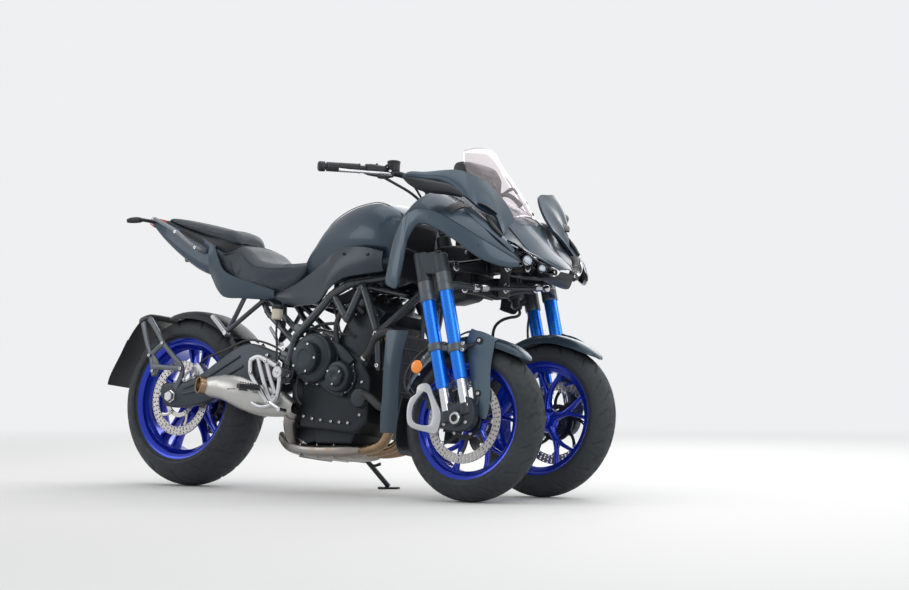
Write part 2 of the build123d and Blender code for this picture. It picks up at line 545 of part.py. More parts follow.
def swingarm():
    """Two side arms, the right one with its hump, joined by the pivot and a bridge, with the axle and the caliper."""
    outline = [(-52, 330), (-40, 366), (48, 368), (136, 398), (230, 455), (324, 508), (383, 517), (464, 496), (560, 470),
               (590, 440), (560, 405), (440, 400), (300, 372), (200, 318), (60, 290), (-40, 298)]
    right = plate(outline, -142, -104, 8)
    left_outline = [(-52, 330), (-40, 360), (120, 372), (330, 440), (560, 474), (590, 440), (560, 405), (420, 392), (260, 350), (60, 290), (-40, 298)]
    left = plate(left_outline, 119, 148, 8)
    bridge = plate([(420, 410), (520, 410), (530, 470), (440, 486)], -110, 96, 8)
    link = plate([(430, 388), (524, 388), (524, 438), (430, 438)], 90, 124, 6)
    spacer = rod((0, -106, REAR_RADIUS), (0, -63, REAR_RADIUS), 22) + rod((0, 112, REAR_RADIUS), (0, 124, REAR_RADIUS), 22)
    axle = rod((0, -156, REAR_RADIUS), (0, 156, REAR_RADIUS), 14)
    nut = rod((0, -158, REAR_RADIUS), (0, -141, REAR_RADIUS), 22) + rod((0, 147, REAR_RADIUS), (0, 160, REAR_RADIUS), 22)
    caliper = plate([(58, 386), (140, 386), (146, 440), (96, 470), (52, 450)], -112, -66, 8)
    slot = turned([(-6, 0), (6, 0), (6, 150), (-6, 150)], (0, -88, REAR_RADIUS))
    whole = joined([right, left, bridge, link, spacer, nut, caliper - slot])
    whole = whole - rod((556, -200, 440), (556, 200, 440), 15)
    whole = whole + axle - rod((0, -170, REAR_RADIUS), (0, 170, REAR_RADIUS), 8)
    return whole


def rear_shock():
    """Damper body with its spring, between the bridge and the frame."""
    low, high = Vector(462, 0, 490), Vector(604, 0, 584)
    spring = [rod(low + (high - low) * t, low + (high - low) * (t + 0.05), 30) for t in (0.2, 0.32, 0.44, 0.56, 0.68, 0.8)]
    return joined([rod(low, high, 22), *spring])


def rear_hugger():
    """Thin guard over the rear tyre, carried by the swingarm."""
    centre = (0.0, 0.0, REAR_RADIUS)
    outer = [(-88, 300), (-84, 322), (-50, 334), (0, 338), (50, 334), (84, 322), (88, 300)]
    inner = [(-84, 300), (-80, 319), (-49, 330), (0, 334), (49, 330), (80, 319), (84, 300)]
    points = [(r, y, REAR_RADIUS) for y, r in outer + inner[::-1]]
    shell = revolve(Face(Wire.make_polygon(points)), Axis(centre, (0, -1, 0)), 70)
    stays = [beam((226, -87, 545), (300, -116, 488), (6, 22), (6, 18), (0, 0, 1)), beam((226, 87, 545), (290, 126, 420), (6, 22), (6, 18), (1, 0, 0))]
    return joined([about(centre, (0, -1, 0), 42) * shell, *stays])


def plate_carrier():
    """Cast struts from the axle back to a blank plate with its flap behind the wheel."""
    strut = [rod((52, -150, 424), (-54, -150, 520), 9), rod((-54, -150, 520), (-160, -128, 620), 9), rod((-86, -150, 398), (-116, -146, 473), 8),
             rod((-116, -146, 473), (-190, -128, 575), 8), rod((-95, -150, 430), (52, -150, 424), 8), rod((-54, -150, 520), (-116, -146, 473), 7),
             rod((52, -146, 424), (16, -134, 352), 9)]
    head = beam((-152, 0, 624), (-262, 0, 614), (262, 12), (150, 12), (0, 1, 0))
    flap = beam((-262, 0, 612), (-386, 0, 372), (170, 10), (190, 6), (0, 1, 0))
    return joined([*strut, head, flap])


def tank_ring(x, top, low, half, shoulder):
    """Tank section: top height, low height, half width and the shoulder's height."""
    mid = (top + shoulder) / 2
    side = [(half * 0.42, top - 5), (half * 0.74, top - 22), (half * 0.94, mid - 8), (half, shoulder),
            (half * 0.9, (shoulder + low) / 2), (half * 0.7, low)]
    return [(x, 0, top), *[(x, y, z) for y, z in side], *[(x, -y, z) for y, z in side[::-1]]]


def fuel_tank():
    """Tank: rows of X, top, bottom, half width and shoulder height."""
    rows = ((566, 856, 780, 84, 830), (620, 928, 770, 112, 856), (665, 975, 764, 130, 880), (745, 1018, 760, 156, 900),
            (835, 1043, 768, 180, 905), (940, 1048, 800, 196, 900), (1010, 1020, 810, 190, 890), (1050, 975, 830, 160, 890))
    return ruled([tank_ring(*row) for row in rows])


def tank_panels():
    """Knee panels under the tank: rows of X, top, bottom and the skin's Y at each."""
    rows = ((470, 716, 690, 122, 128), (560, 742, 664, 134, 140), (630, 776, 664, 142, 160), (722, 826, 672, 160, 182),
            (770, 852, 716, 178, 190), (838, 868, 756, 192, 196), (932, 868, 770, 206, 200), (1030, 850, 782, 206, 196))
    rings = [[(x, -ya, za), (x, -yb, zb), (x, -yb + 5, zb), (x, -ya + 5, za)] for x, za, zb, ya, yb in rows]
    pegs = [rod((838, -150, 858), (838, -196, 860), 7), rod((960, -160, 852), (960, -206, 856), 7), rod((762, -164, 702), (766, -184, 722), 7)]
    return both(joined([ruled(rings), *pegs]))


def seat_ring(x, top, low, half, crown, foam):
    """Seat section: a crowned top, side skirts down to the low edge, and the foam's depth between them."""
    side = [(half * 0.5, top - crown * 0.2), (half * 0.85, top - crown * 0.6), (half, top - crown * 1.4), (half * 0.98, low),
            (half * 0.9, low), (half * 0.86, max(low, top - foam))]
    return [(x, 0, top), *[(x, y, z) for y, z in side], *[(x, -y, z) for y, z in side[::-1]]]


def rider_seat():
    """Rider's seat: rows of X, top, bottom, half width and crown."""
    rows = ((562, 850, 800, 84, 14), (500, 836, 716, 112, 16), (428, 832, 708, 142, 18), (350, 846, 716, 152, 20),
            (289, 890, 726, 150, 22), (250, 902, 748, 140, 24), (170, 884, 800, 124, 16), (124, 908, 852, 112, 10))
    return ruled([seat_ring(*row, 62) for row in rows])


def pillion_seat():
    rows = ((222, 912, 900, 78, 4), (196, 952, 900, 92, 14), (120, 968, 918, 104, 16), (14, 989, 948, 108, 16), (-100, 1008, 978, 96, 14),
            (-172, 1018, 998, 76, 8))
    return ruled([seat_ring(*row, 40) for row in rows])


def tail_cover():
    """Tail tray under the pillion seat, hollow below: rows of X, top, bottom and half width."""
    rows = ((120, 896, 780, 96), (40, 930, 800, 92), (-60, 962, 848, 84), (-180, 994, 922, 74), (-262, 1008, 982, 60))
    outer = ruled([[(x, -w, low + 14), (x, -w * 0.7, low), (x, w * 0.7, low), (x, w, low + 14), (x, w + 6, top), (x, -w - 6, top)] for x, top, low, w in rows])
    inner = ruled([[(x, -w + 4, low + 17), (x, -w * 0.66, low + 5), (x, w * 0.66, low + 5), (x, w - 4, low + 17), (x, w + 1, top + 9), (x, -w - 1, top + 9)]
                   for x, top, low, w in ((124, 896, 780, 96), *rows[1:4], (-240, 1004, 970, 62))])
    return outer - inner


def side_panels():
    """Panels under the seat: rows of X, top, bottom, Y at top and at bottom."""
    rows = ((104, 890, 800, 118, 108), (160, 836, 730, 134, 118), (200, 796, 700, 142, 122), (300, 726, 694, 152, 126), (470, 712, 690, 148, 128))
    rings = [[(x, -ya, za), (x, -yb, zb), (x, -yb + 5, zb), (x, -ya + 5, za)] for x, za, zb, ya, yb in rows]
    return both(joined([ruled(rings), rod((340, -84, 748), (340, -148, 714), 6)]))


def grab_rails():
    """Cast grab rails along the tail, left side."""
    a, b, c = (52, 128, 884), (-60, 122, 946), (-212, 96, 1006)
    side = joined([rod((62, 86, 870), a, 9), rod(a, b, 9), Pos(*a) * Sphere(9.2), Pos(*b) * Sphere(9.2), rod(b, c, 8), rod(c, (-226, 72, 1004), 8), Pos(*c) * Sphere(8.2)])
    return both(side)


def rear_lamps():
    """Tail lamp and the rear indicators on their stalks."""
    lamp = plate([(-262, 984), (-282, 994), (-276, 1012), (-262, 1014)], -52, 52, 3)
    stalk = rod((-245, -66, 998), (-262, -132, 998), 7) + beam((-262, -118, 998), (-300, -186, 992), (22, 34), (16, 20), (0, 0, 1))
    return Compound([*lamp.solids(), *stalk.solids(), *mirrored(stalk).solids()])


# Front fairing
COWL_WALL = 4.0


COWL_BULGE = 20.0


def side_cowls():
    """Side cowl with the arch over its fork: rows of X, the seam's Y and Z, the lip's Y and Z, and the lower edge's Y and Z."""
    rows = ((1160, 322, 776, 328, 768, 330, 716), (1186, 330, 888, 338, 878, 340, 706), (1222, 318, 968, 346, 944, 348, 704),
            (1240, 300, 1000, 348, 958, 349, 706), (1248, 286, 1018, 350, 964, 350, 862), (1268, 270, 1040, 350, 972, 351, 898),
            (1302, 250, 1052, 351, 979, 352, 926), (1372, 222, 1026, 351, 966, 351, 911), (1466, 206, 974, 339, 925, 338, 862),
            (1544, 206, 908, 298, 878, 294, 808), (1608, 206, 848, 236, 834, 236, 789), (1642, 196, 816, 200, 812, 198, 796))
    rings = []
    for x, seam_y, seam_z, lip_y, lip_z, low_y, low_z in rows:
        span, drop = lip_y - seam_y, seam_z - lip_z
        bulge = COWL_BULGE * span / math.hypot(span, drop)
        mid = (seam_y + span / 2 + bulge * drop / max(span, 1) * 0.5, seam_z - drop / 2 + bulge)
        outer = [(seam_y, seam_z), mid, (lip_y, lip_z), (low_y, low_z)]
        inner = [(low_y - COWL_WALL, low_z), (lip_y - COWL_WALL, lip_z - 1), (mid[0] - 2, mid[1] - COWL_WALL),
                 (seam_y - 2, seam_z - COWL_WALL)]
        rings.append([(x, -y, z) for y, z in outer + inner])
    return both(ruled(rings))


def nose_cowl():
    """Centre panel from the instrument hood to the beak: rows of X, crest height, edge Y and Z, seam Y and Z."""
    rows = ((1312, 1092, 120, 1066, 240, 1050), (1372, 1060, 132, 1050, 216, 1026), (1466, 1008, 124, 992, 200, 974),
            (1544, 940, 108, 916, 196, 900), (1600, 892, 92, 862, 150, 868), (1660, 846, 66, 834, 84, 828), (1704, 812, 30, 806, 44, 800))
    rings = []
    for x, crest, edge_y, edge_z, seam_y, seam_z in rows:
        outer = [(-seam_y, seam_z), (-edge_y, edge_z), (0, crest), (edge_y, edge_z), (seam_y, seam_z)]
        inner = [(y * 0.98, z - COWL_WALL) for y, z in outer[::-1]]
        rings.append([(x, y, z) for y, z in outer + inner])
    return ruled(rings)


def headlights():
    """Two lamp units beside the beak."""
    lamp = ruled([[(1588, 190, 852), (1606, 190, 800), (1570, 190, 800), (1560, 190, 842)],
                  [(1640, 120, 842), (1656, 120, 790), (1600, 120, 786), (1590, 120, 840)],
                  [(1684, 62, 818), (1692, 62, 778), (1630, 62, 774), (1624, 62, 812)]])
    chin = plate([(1600, 786), (1696, 778), (1692, 750), (1610, 758)], -60, 60, 6)
    return Compound([*lamp.solids(), *mirrored(lamp).solids(), *chin.solids()])


def windscreen():
    """Curved clear screen: rows of X, Z of its middle, half width and how far the edges fall back."""
    rows = ((1500, 1000, 108, 40), (1440, 1066, 122, 52), (1376, 1136, 118, 50), (1312, 1208, 92, 36), (1290, 1246, 58, 16))
    inward = (-0.76, -0.65)
    rings = []
    for x, z, half, back in rows:
        curve = [(half * t, back * t * t) for t in (-1, -0.6, -0.2, 0.2, 0.6, 1)]
        curve += [(y, deep + 3) for y, deep in curve[::-1]]
        rings.append([(x + inward[0] * deep, y, z + inward[1] * deep) for y, deep in curve])
    return ruled(rings)


def instrument_hood():
    """Instrument screen in its hood behind the windscreen."""
    hood = ruled([[(1206, -70, 1150), (1206, 70, 1150), (1190, 70, 1188), (1190, -70, 1188)],
                  [(1300, -78, 1104), (1300, 78, 1104), (1290, 70, 1184), (1290, -70, 1184)]])
    base = plate([(1230, 1108), (1300, 1060), (1312, 1090), (1290, 1140)], -40, 40, 6)
    return joined([hood, base])


def mirrors():
    """Mirror housings on arms from the cowls: left side."""
    head = ruled([[(1330, 300, 1062), (1352, 300, 1050), (1352, 300, 1086), (1330, 300, 1098)],
                  [(1290, 380, 1034), (1352, 380, 1040), (1362, 380, 1100), (1290, 380, 1104)],
                  [(1286, 436, 1052), (1330, 436, 1056), (1334, 436, 1092), (1286, 436, 1098)]])
    arm_a = beam((1432, 222, 1010), (1400, 262, 1050), (30, 40), (22, 30), (0, 0, 1))
    arm_b = beam((1402, 258, 1048), (1344, 316, 1076), (22, 30), (16, 26), (0, 0, 1))
    return both(joined([head, arm_a, arm_b]))


def foot_brackets():
    """Cast rider hangers with heel guards and pegs, and the pillion peg brackets: right side."""
    y0, y1 = -240, -227
    frame = plate([(463, 448), (505, 470), (548, 456), (560, 430), (600, 446), (628, 430), (626, 392), (604, 372), (616, 312), (566, 272),
                   (496, 292), (500, 312), (556, 322), (560, 352), (520, 372), (478, 384)], y0, y1, 5)
    holes = [plate([(488, 444), (506, 452), (536, 442), (540, 398), (500, 394)], y0 - 1, y1 + 1, 4),
             plate([(566, 418), (590, 400), (580, 376), (562, 382)], y0 - 1, y1 + 1, 3)]
    hanger = less(frame, *holes)
    hanger = hanger + rod((600, -228, 412), (600, -160, 412), 12) + rod((548, -228, 440), (548, -160, 440), 12)
    peg = beam((520, -238, 350), (500, -322, 346), (24, 26), (20, 22), (0, 0, 1))
    pedal = beam((590, -246, 300), (668, -250, 268), (10, 12), (10, 12)) + rod((668, -240, 268), (668, -282, 268), 8)
    pedal = pedal + beam((602, -236, 318), (588, -248, 300), (20, 20), (14, 14))
    return joined([hanger, peg, pedal])


def pillion_brackets():
    """Tube hanger of a pillion peg, right side."""
    tubes = [rod((430, -97, 718), (262, -150, 566), 9), rod((306, -86, 756), (262, -150, 566), 9)]
    peg = beam((262, -150, 556), (196, -166, 622), (16, 22), (14, 20))
    return joined([*tubes, peg])


def fluid_reservoir():
    pot = rod((510, -158, 612), (510, -158, 648), 20) + rod((510, -158, 648), (510, -158, 662), 22)
    return pot + rod((510, -112, 580), (510, -150, 620), 6)


SPROCKET_Y, CHAIN_DEEP = 107.0, 16.0


def drive_chain():
    """Closed chain round the gearbox sprocket and the rear sprocket, as a band of the chain's width."""
    front, rear = (612.0, 430.0, 34.0), (0.0, REAR_RADIUS, 100.0)

    def belt(extra):
        circles = [Edge.make_circle(r + extra, Plane(origin=(x, z, 0))) for x, z, r in (front, rear)]
        return extrude(make_hull(circles), 11)

    ring = belt(CHAIN_DEEP) - belt(0)
    return Pos(0, SPROCKET_Y + 5.5, 0) * Rot(90, 0, 0) * ring


REAR_AXLE = (0.0, 0.0, REAR_RADIUS)
rear_disc = brake_disc(REAR_AXLE, -88, 141, 108, 5, 60, 6)
SPROCKET = [(-44, 50), (-4, 50), (-4, 62), (4, 62), (4, 99.5), (-4, 99.5), (-4, 66), (-44, 62)]
sprocket = turned(SPROCKET, (0, SPROCKET_Y, REAR_RADIUS))

# Pieces of the fixed body, each cut clear of what it is seated on
head = frame_head()
engine = engine_block()
trellis = less(trellis_frame(), head, engine)
lug = less(stand_lug(), engine)
covers = engine_covers()
arm_rear = swingarm()
muffler = silencer()
pipes = less(exhaust_pipes(), engine, muffler)
seat = rider_seat()
tail = tail_cover()
pillion = pillion_seat()
tank = less(fuel_tank(), seat, trellis)
rails = less(subframe(), trellis, tail, engine, seat, pillion)
panels = less(tank_panels(), seat, tank, trellis)
cowls = less(side_cowls(), head)
nose = less(nose_cowl(), head)
chain = less(drive_chain(), engine)
hugger = less(rear_hugger(), arm_rear, chain)
pegs = less(both(foot_brackets()), trellis)

# Every node, with where it stands as parked
NODES = {
    "trellis_frame": (FIXED, trellis),
    "frame_head": (FIXED, head),
    "subframe": (FIXED, rails),
    "engine_block": (FIXED, joined([engine, lug])),
    "engine_covers": (FIXED, less(covers, engine, trellis)),
    "radiator": (FIXED, less(radiator(), head)),
    "exhaust_pipes": (FIXED, pipes),
    "silencer": (FIXED, less(muffler, pegs)),
    "swingarm": (FIXED, arm_rear),
    "rear_shock": (FIXED, less(rear_shock(), trellis, arm_rear)),
    "rear_hugger": (FIXED, hugger),
    "plate_carrier": (FIXED, less(plate_carrier(), hugger, arm_rear)),
    "fuel_tank": (FIXED, tank),
    "tank_panels": (FIXED, panels),
    "rider_seat": (FIXED, seat),
    "pillion_seat": (FIXED, pillion),
    "tail_cover": (FIXED, tail),
    "side_panels": (FIXED, less(side_panels(), seat, panels, tail, rails)),
    "grab_rails": (FIXED, less(grab_rails(), tail)),
    "rear_lamps": (FIXED, less(rear_lamps(), tail)),
    "side_cowls": (FIXED, cowls),
    "nose_cowl": (FIXED, less(nose, cowls)),
    "headlights": (FIXED, less(headlights(), nose, cowls, head)),
    "windscreen": (FIXED, max(less(windscreen(), nose).solids(), key=lambda solid: solid.volume)),
    "instrument_hood": (FIXED, less(instrument_hood(), nose)),
    "mirrors": (FIXED, less(mirrors(), cowls, nose)),
    "foot_brackets": (FIXED, pegs),
    "pillion_brackets": (FIXED, less(both(pillion_brackets()), side_panels(), rails)),
    "fluid_reservoir": (FIXED, less(fluid_reservoir(), rails, trellis)),
    "drive_chain": (FIXED, chain),
    "rear_tyre": (FIXED, tyre(REAR_AXLE, REAR_RADIUS, REAR_HALF, REAR_CROWN, REAR_FLANGE, REAR_SEAT, REAR_RIM_HALF)),
    "rear_rim": (FIXED, rear_rim()),
    "rear_disc": (FIXED, Compound([*rear_disc.solids(), *sprocket.solids()])),
    "upper_arm": (UPPER_ARM, arm(UPPER_PIVOT, 10.06, 34)),
    "lower_arm": (LOWER_ARM, arm(LOWER_PIVOT, 12, 46)),
    "tie_rod": (TIE, tie_rod()),
    "handlebar": (BARS, handlebar()),
    "side_stand": (FIXED, side_stand()),
}
for name, side in (("left", 1), ("right", -1)):
    hub = (WHEELBASE, side * ARM_HALF, FRONT_AXLE_Z)
    front = (FRONT_RADIUS, FRONT_HALF, FRONT_CROWN, FRONT_FLANGE, FRONT_SEAT, FRONT_RIM_HALF)
    NODES["carrier_" + name] = (carried(side), carrier(side))
    legs = fork(side)
    NODES["fork_" + name] = (steered(side), legs)
    NODES["fork_tubes_" + name] = (steered(side), Compound([s for leg in fork_tubes(side) for s in leg.solids()]))
    NODES["fender_" + name] = (steered(side), less(fender(side), legs, *fork_tubes(side)))
    NODES["front_rim_" + name] = (steered(side), front_rim(side))
    NODES["front_tyre_" + name] = (steered(side), tyre(hub, *front))
    NODES["front_disc_" + name] = (steered(side), brake_disc(hub, side * 68, 149, 116, 5, 62, 8))

if __name__ == "__main__":
    os.makedirs("parts", exist_ok=True)
    for name, (place, shape) in NODES.items():
        export_step(place * shape, f"parts/{name}.step")
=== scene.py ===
import math

import bmesh
import bpy
import numpy as np
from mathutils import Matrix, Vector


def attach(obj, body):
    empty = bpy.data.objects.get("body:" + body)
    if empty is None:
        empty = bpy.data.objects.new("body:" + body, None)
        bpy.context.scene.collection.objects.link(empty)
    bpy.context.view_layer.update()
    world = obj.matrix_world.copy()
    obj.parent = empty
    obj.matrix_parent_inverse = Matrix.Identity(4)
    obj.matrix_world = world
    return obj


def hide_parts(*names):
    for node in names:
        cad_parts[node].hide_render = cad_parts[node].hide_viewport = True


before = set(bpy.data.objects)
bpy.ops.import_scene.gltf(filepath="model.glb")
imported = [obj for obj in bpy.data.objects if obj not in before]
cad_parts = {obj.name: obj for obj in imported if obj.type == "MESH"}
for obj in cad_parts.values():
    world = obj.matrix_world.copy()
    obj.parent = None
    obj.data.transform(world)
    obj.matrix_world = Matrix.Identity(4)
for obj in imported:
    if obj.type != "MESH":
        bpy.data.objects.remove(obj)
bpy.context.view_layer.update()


# Studio
# A pale floor under a pale sky, soft lamps over and around the machine, and the camera low at its front
# right.
FLOOR_SIZE = 60.0
FLOOR_COLOUR = (0.66, 0.66, 0.65, 1)
FLOOR_ROUGHNESS = 0.75
SKY_COLOUR = (0.86, 0.87, 0.88, 1)
SKY_LIGHT = 0.8
CAMERA_AZIMUTH, CAMERA_ELEVATION, CAMERA_DISTANCE = 40.4, 1.07, 12.524
CAMERA_TARGET = (0.105, -0.135, 0.45)
CAMERA_LENS = 136.75
AIM_RIGHT, AIM_UP = 0.0302, 0.0213
LAMPS = (((0.4, 0.6, 4.4), (0.1, 0.0, 0.5), 5.0, 100.0), ((4.4, -2.2, 2.6), (0.2, 0.0, 0.6), 2.6, 42.0),
    ((-4.0, -3.4, 2.6), (0.0, 0.0, 0.5), 2.4, 40.0), ((-1.5, 4.4, 3.0), (0.0, 0.0, 0.6), 3.4, 90.0),
    ((3.6, 3.4, 2.6), (0.6, 0.0, 0.6), 2.4, 60.0))
FADE_START, FADE_END = 2.2, 7.0


def node(tree, kind, **inputs):
    """New shader node with constants on its inputs, whose names have underscores for spaces."""
    made = tree.nodes.new("ShaderNode" + kind)
    for name, value in inputs.items():
        made.inputs[name.replace("_", " ")].default_value = value
    return made


def floor_and_sky():
    """A flat floor and a world that shows the same pale colour to the camera and to glossy surfaces."""
    half = FLOOR_SIZE / 2
    mesh = bpy.data.meshes.new("floor")
    mesh.from_pydata([(-half, -half, 0), (half, -half, 0), (half, half, 0), (-half, half, 0)], [],
        [(0, 1, 2, 3)])
    floor = bpy.data.objects.new("floor", mesh)
    bpy.context.scene.collection.objects.link(floor)
    ground = bpy.data.materials.new("pale_floor")
    ground.use_nodes = True
    tree = ground.node_tree
    shader = tree.nodes["Principled BSDF"]
    shader.inputs["Base Color"].default_value = FLOOR_COLOUR
    shader.inputs["Roughness"].default_value = FLOOR_ROUGHNESS
    away = node(tree, "VectorMath")
    away.operation = "LENGTH"
    tree.links.new(node(tree, "TexCoord").outputs["Object"], away.inputs[0])
    fade = node(tree, "MapRange", From_Min=FADE_START, From_Max=FADE_END)
    fade.interpolation_type = "SMOOTHSTEP"
    tree.links.new(away.outputs["Value"], fade.inputs["Value"])
    blend = node(tree, "MixShader")
    for socket, source in enumerate((fade, shader, node(tree, "Emission", Color=SKY_COLOUR))):
        tree.links.new(source.outputs[0], blend.inputs[socket])
    tree.links.new(blend.outputs[0], tree.nodes["Material Output"].inputs["Surface"])
    mesh.materials.append(ground)
    world = bpy.data.worlds.new("pale_sky")
    bpy.context.scene.world = world
    world.use_nodes = True
    tree = world.node_tree
    path, seen = node(tree, "LightPath"), node(tree, "Math")
    seen.operation = "MAXIMUM"
    tree.links.new(path.outputs["Is Camera Ray"], seen.inputs[0])
    tree.links.new(path.outputs["Is Transmission Ray"], seen.inputs[1])
    strength = node(tree, "MapRange", To_Min=SKY_LIGHT, To_Max=1.0)
    tree.links.new(seen.outputs[0], strength.inputs["Value"])
    tree.links.new(strength.outputs[0], tree.nodes["Background"].inputs["Strength"])
    tree.nodes["Background"].inputs["Color"].default_value = SKY_COLOUR


def lamp(number, place, aim, size, power):
    data = bpy.data.lights.new(f"soft_lamp_{number}", "AREA")
    data.shape, data.size, data.energy = "SQUARE", size, power
    made = bpy.data.objects.new(data.name, data)
    bpy.context.scene.collection.objects.link(made)
    made.location = place
    made.rotation_euler = (Vector(aim) - Vector(place)).to_track_quat("-Z", "Y").to_euler()


def camera():
    """Looks along the photograph's direction, aimed a little beside the target so that it stands where it
    does there."""
    turn, rise = math.radians(CAMERA_AZIMUTH), math.radians(CAMERA_ELEVATION)
    back = Vector((math.sin(turn) * math.cos(rise), -math.cos(turn) * math.cos(rise), math.sin(rise)))
    right = (-back).cross(Vector((0, 0, 1))).normalized()
    look = -back + right * AIM_RIGHT + right.cross(-back) * AIM_UP
    data = bpy.data.cameras.new("camera")
    data.lens, data.sensor_width = CAMERA_LENS, 36.0
    made = bpy.data.objects.new("camera", data)
    bpy.context.scene.collection.objects.link(made)
    made.location = Vector(CAMERA_TARGET) + back * CAMERA_DISTANCE
    made.rotation_euler = look.to_track_quat("-Z", "Y").to_euler()
    bpy.context.scene.camera = made


floor_and_sky()
for number, row in enumerate(LAMPS):
    lamp(number, *row)
camera()
bpy.context.scene.view_settings.view_transform = "Standard"


# How the machine parks
# Every piece is drawn in millimetres with the machine upright, X forward from the rear axle and Y to the
# left. These matrices lean it on its stand, hold the arms level and steer the forks, as the frame has them.
# What stands at a front wheel is drawn once, out from the wheel's middle plane, and mirrored for the right
# side.
LEAN, STEER, CASTER = 7.75, 4.8, 20.0
MM, MERGED = 0.001, 2e-6
WHEELBASE, HALF_TRACK, REAR_AXLE_Z, FRONT_AXLE_Z = 1510.0, 205.0, 320.4, 273.557
ROW_ORIGIN, REST_LIFT = (-695.0, -135.0), 0.913
SETBACK, STEER_ARM = 24.4, 130.0
STEER_AXIS = (-math.sin(math.radians(CASTER)), 0.0, math.cos(math.radians(CASTER)))
LOWER_PIVOT, UPPER_PIVOT = (1395.0, 0.0, 745.0), (1350.0, 0.0, 822.0)
BAR_PIVOT = (1090.0, 0.0, 1050.0)


def shifted(x, y, z):
    made = np.eye(4)
    made[:3, 3] = x, y, z
    return made


def turned(axis, degrees, point=(0, 0, 0)):
    """Turn about an axis through a point: one part stays along the axis and the rest goes round it."""
    x, y, z = np.asarray(axis, float) / np.linalg.norm(axis)
    cross = np.array([[0, -z, y], [z, 0, -x], [-y, x, 0]])
    angle = math.radians(degrees)
    made = np.eye(4)
    made[:3, :3] += math.sin(angle) * cross + (1 - math.cos(angle)) * cross @ cross
    return shifted(*point) @ made @ shifted(*(-np.asarray(point, float)))


FIXED = shifted(*ROW_ORIGIN, REST_LIFT) @ turned((1, 0, 0), -LEAN)
UPPER_ARM = FIXED @ turned((1, 0, 0), LEAN, UPPER_PIVOT)
LOWER_ARM = FIXED @ turned((1, 0, 0), LEAN, LOWER_PIVOT)
PLACES = {"frame": FIXED, "rear_wheel": FIXED, "side_stand": FIXED, "upper_arm": UPPER_ARM,
    "lower_arm": LOWER_ARM, "handlebar": FIXED @ turned(STEER_AXIS, STEER, BAR_PIVOT),
    "tie_rod": LOWER_ARM @ shifted(0, STEER_ARM * math.radians(STEER), 0)}
REAR_HUB, FRONT_HUB = (0.0, 0.0, REAR_AXLE_Z), (WHEELBASE, 0.0, FRONT_AXLE_Z)
AXIS_FOOT_X, AXIS_FOOT_Z = WHEELBASE - SETBACK * STEER_AXIS[2], FRONT_AXLE_Z + SETBACK * STEER_AXIS[0]
UP, AHEAD = (0, 0, 1), (1, 0, 0)
SIDES = (("left", 1), ("right", -1))
MIRROR = {"left": np.eye(4), "right": np.diag([1.0, -1.0, 1.0, 1.0])}
for name, side in SIDES:
    sway, rise = HALF_TRACK * (1 - math.cos(math.radians(LEAN))), HALF_TRACK * math.sin(math.radians(LEAN))
    carried = FIXED @ shifted(0, -side * sway, side * rise)
    steered = carried @ turned(STEER_AXIS, STEER, (AXIS_FOOT_X, side * HALF_TRACK, AXIS_FOOT_Z))
    beside = shifted(0, side * HALF_TRACK, 0) @ MIRROR[name]
    PLACES[f"carrier_{name}"] = carried @ beside
    PLACES[f"fork_{name}"] = PLACES[f"wheel_{name}"] = steered @ beside


# Tyres
# Black rubber road tyres, moulded in one piece: round tread with slanted cuts, plain walls and beads on the
# rim.
TYRE_ROUND, TREAD_CUT = 600, 4.2
FRONT_TYRE = dict(radius=274.5, half=60.0, crown=62.0, flange=204.0, rim_half=47.0, cuts=15, cut_width=7.0)
REAR_TYRE = dict(radius=320.4, half=95.0, crown=100.0, flange=230.0, rim_half=75.0, cuts=15, cut_width=8.5)


def flow(points, steps=8, closed=False):
    """Smooth line or surface through rows of points: between two rows a cubic, whose slopes are those of the
    parabolas through three neighbours, spaced by the square root of the gaps."""
    p = np.asarray(points, float)
    if closed:
        p = np.concatenate([p[-2:], p, p[:3]])
    gap = np.linalg.norm(np.diff(p, axis=0), axis=-1).reshape(len(p) - 1, -1).mean(1) ** 0.5 + 1e-9
    wide = gap.reshape((-1,) + (1,) * (p.ndim - 1))
    rate = np.diff(p, axis=0) / wide
    slope = np.empty_like(p)
    slope[1:-1] = (rate[:-1] * wide[1:] + rate[1:] * wide[:-1]) / (wide[:-1] + wide[1:]) if len(p) > 2 else 0
    slope[0], slope[-1] = (1.5 * rate[0] - 0.5 * slope[1], 1.5 * rate[-1] - 0.5
        * slope[-2]) if len(p) > 2 else rate[[0, 0]]
    t = (np.arange(steps) / steps).reshape((1, steps) + (1,) * (p.ndim - 1))
    a, b, u, v, w = p[:-1, None], p[1:, None], slope[:-1, None], slope[1:, None], wide[:, None]
    rows = (a * (1 + 2 * t) * (1 - t) ** 2 + b * t * t * (3 - 2 * t) + u * w * t * (1 - t) ** 2 - v * w * t
        * t * (1 - t))
    rows = rows.reshape((-1,) + p.shape[1:])
    return rows[2 * steps:-3 * steps] if closed else np.concatenate([rows, p[-1:]])


def sheet(grid, round_rows=False, round_columns=False):
    """Shell of quads between neighbouring points of a grid; a round one joins its last row or column to its
    first."""
    n, m = grid.shape[:2]
    i, j = np.meshgrid(np.arange(n if round_rows else n - 1), np.arange(m if round_columns else m - 1),
        indexing="ij")
    a, b = i % n, (i + 1) % n
    c, d = j % m, (j + 1) % m
    quads = np.stack([a * m + c, b * m + c, b * m + d, a * m + d], -1).reshape(-1, 4)
    return grid.reshape(-1, 3), quads.tolist()


def body_of(rings):
    """Closed body round rings of points: the first and last are drawn in to their middles."""
    rings = np.asarray(rings, float)
    ends = [0 * ring + ring.mean(1, keepdims=True) for ring in (rings[:1], rings[-1:])]
    return sheet(np.concatenate([ends[0], rings, ends[1]]), round_columns=True)


def unit(vectors):
    """Vectors made one long."""
    vectors = np.asarray(vectors, float)
    return vectors / np.linalg.norm(vectors, axis=-1, keepdims=True)


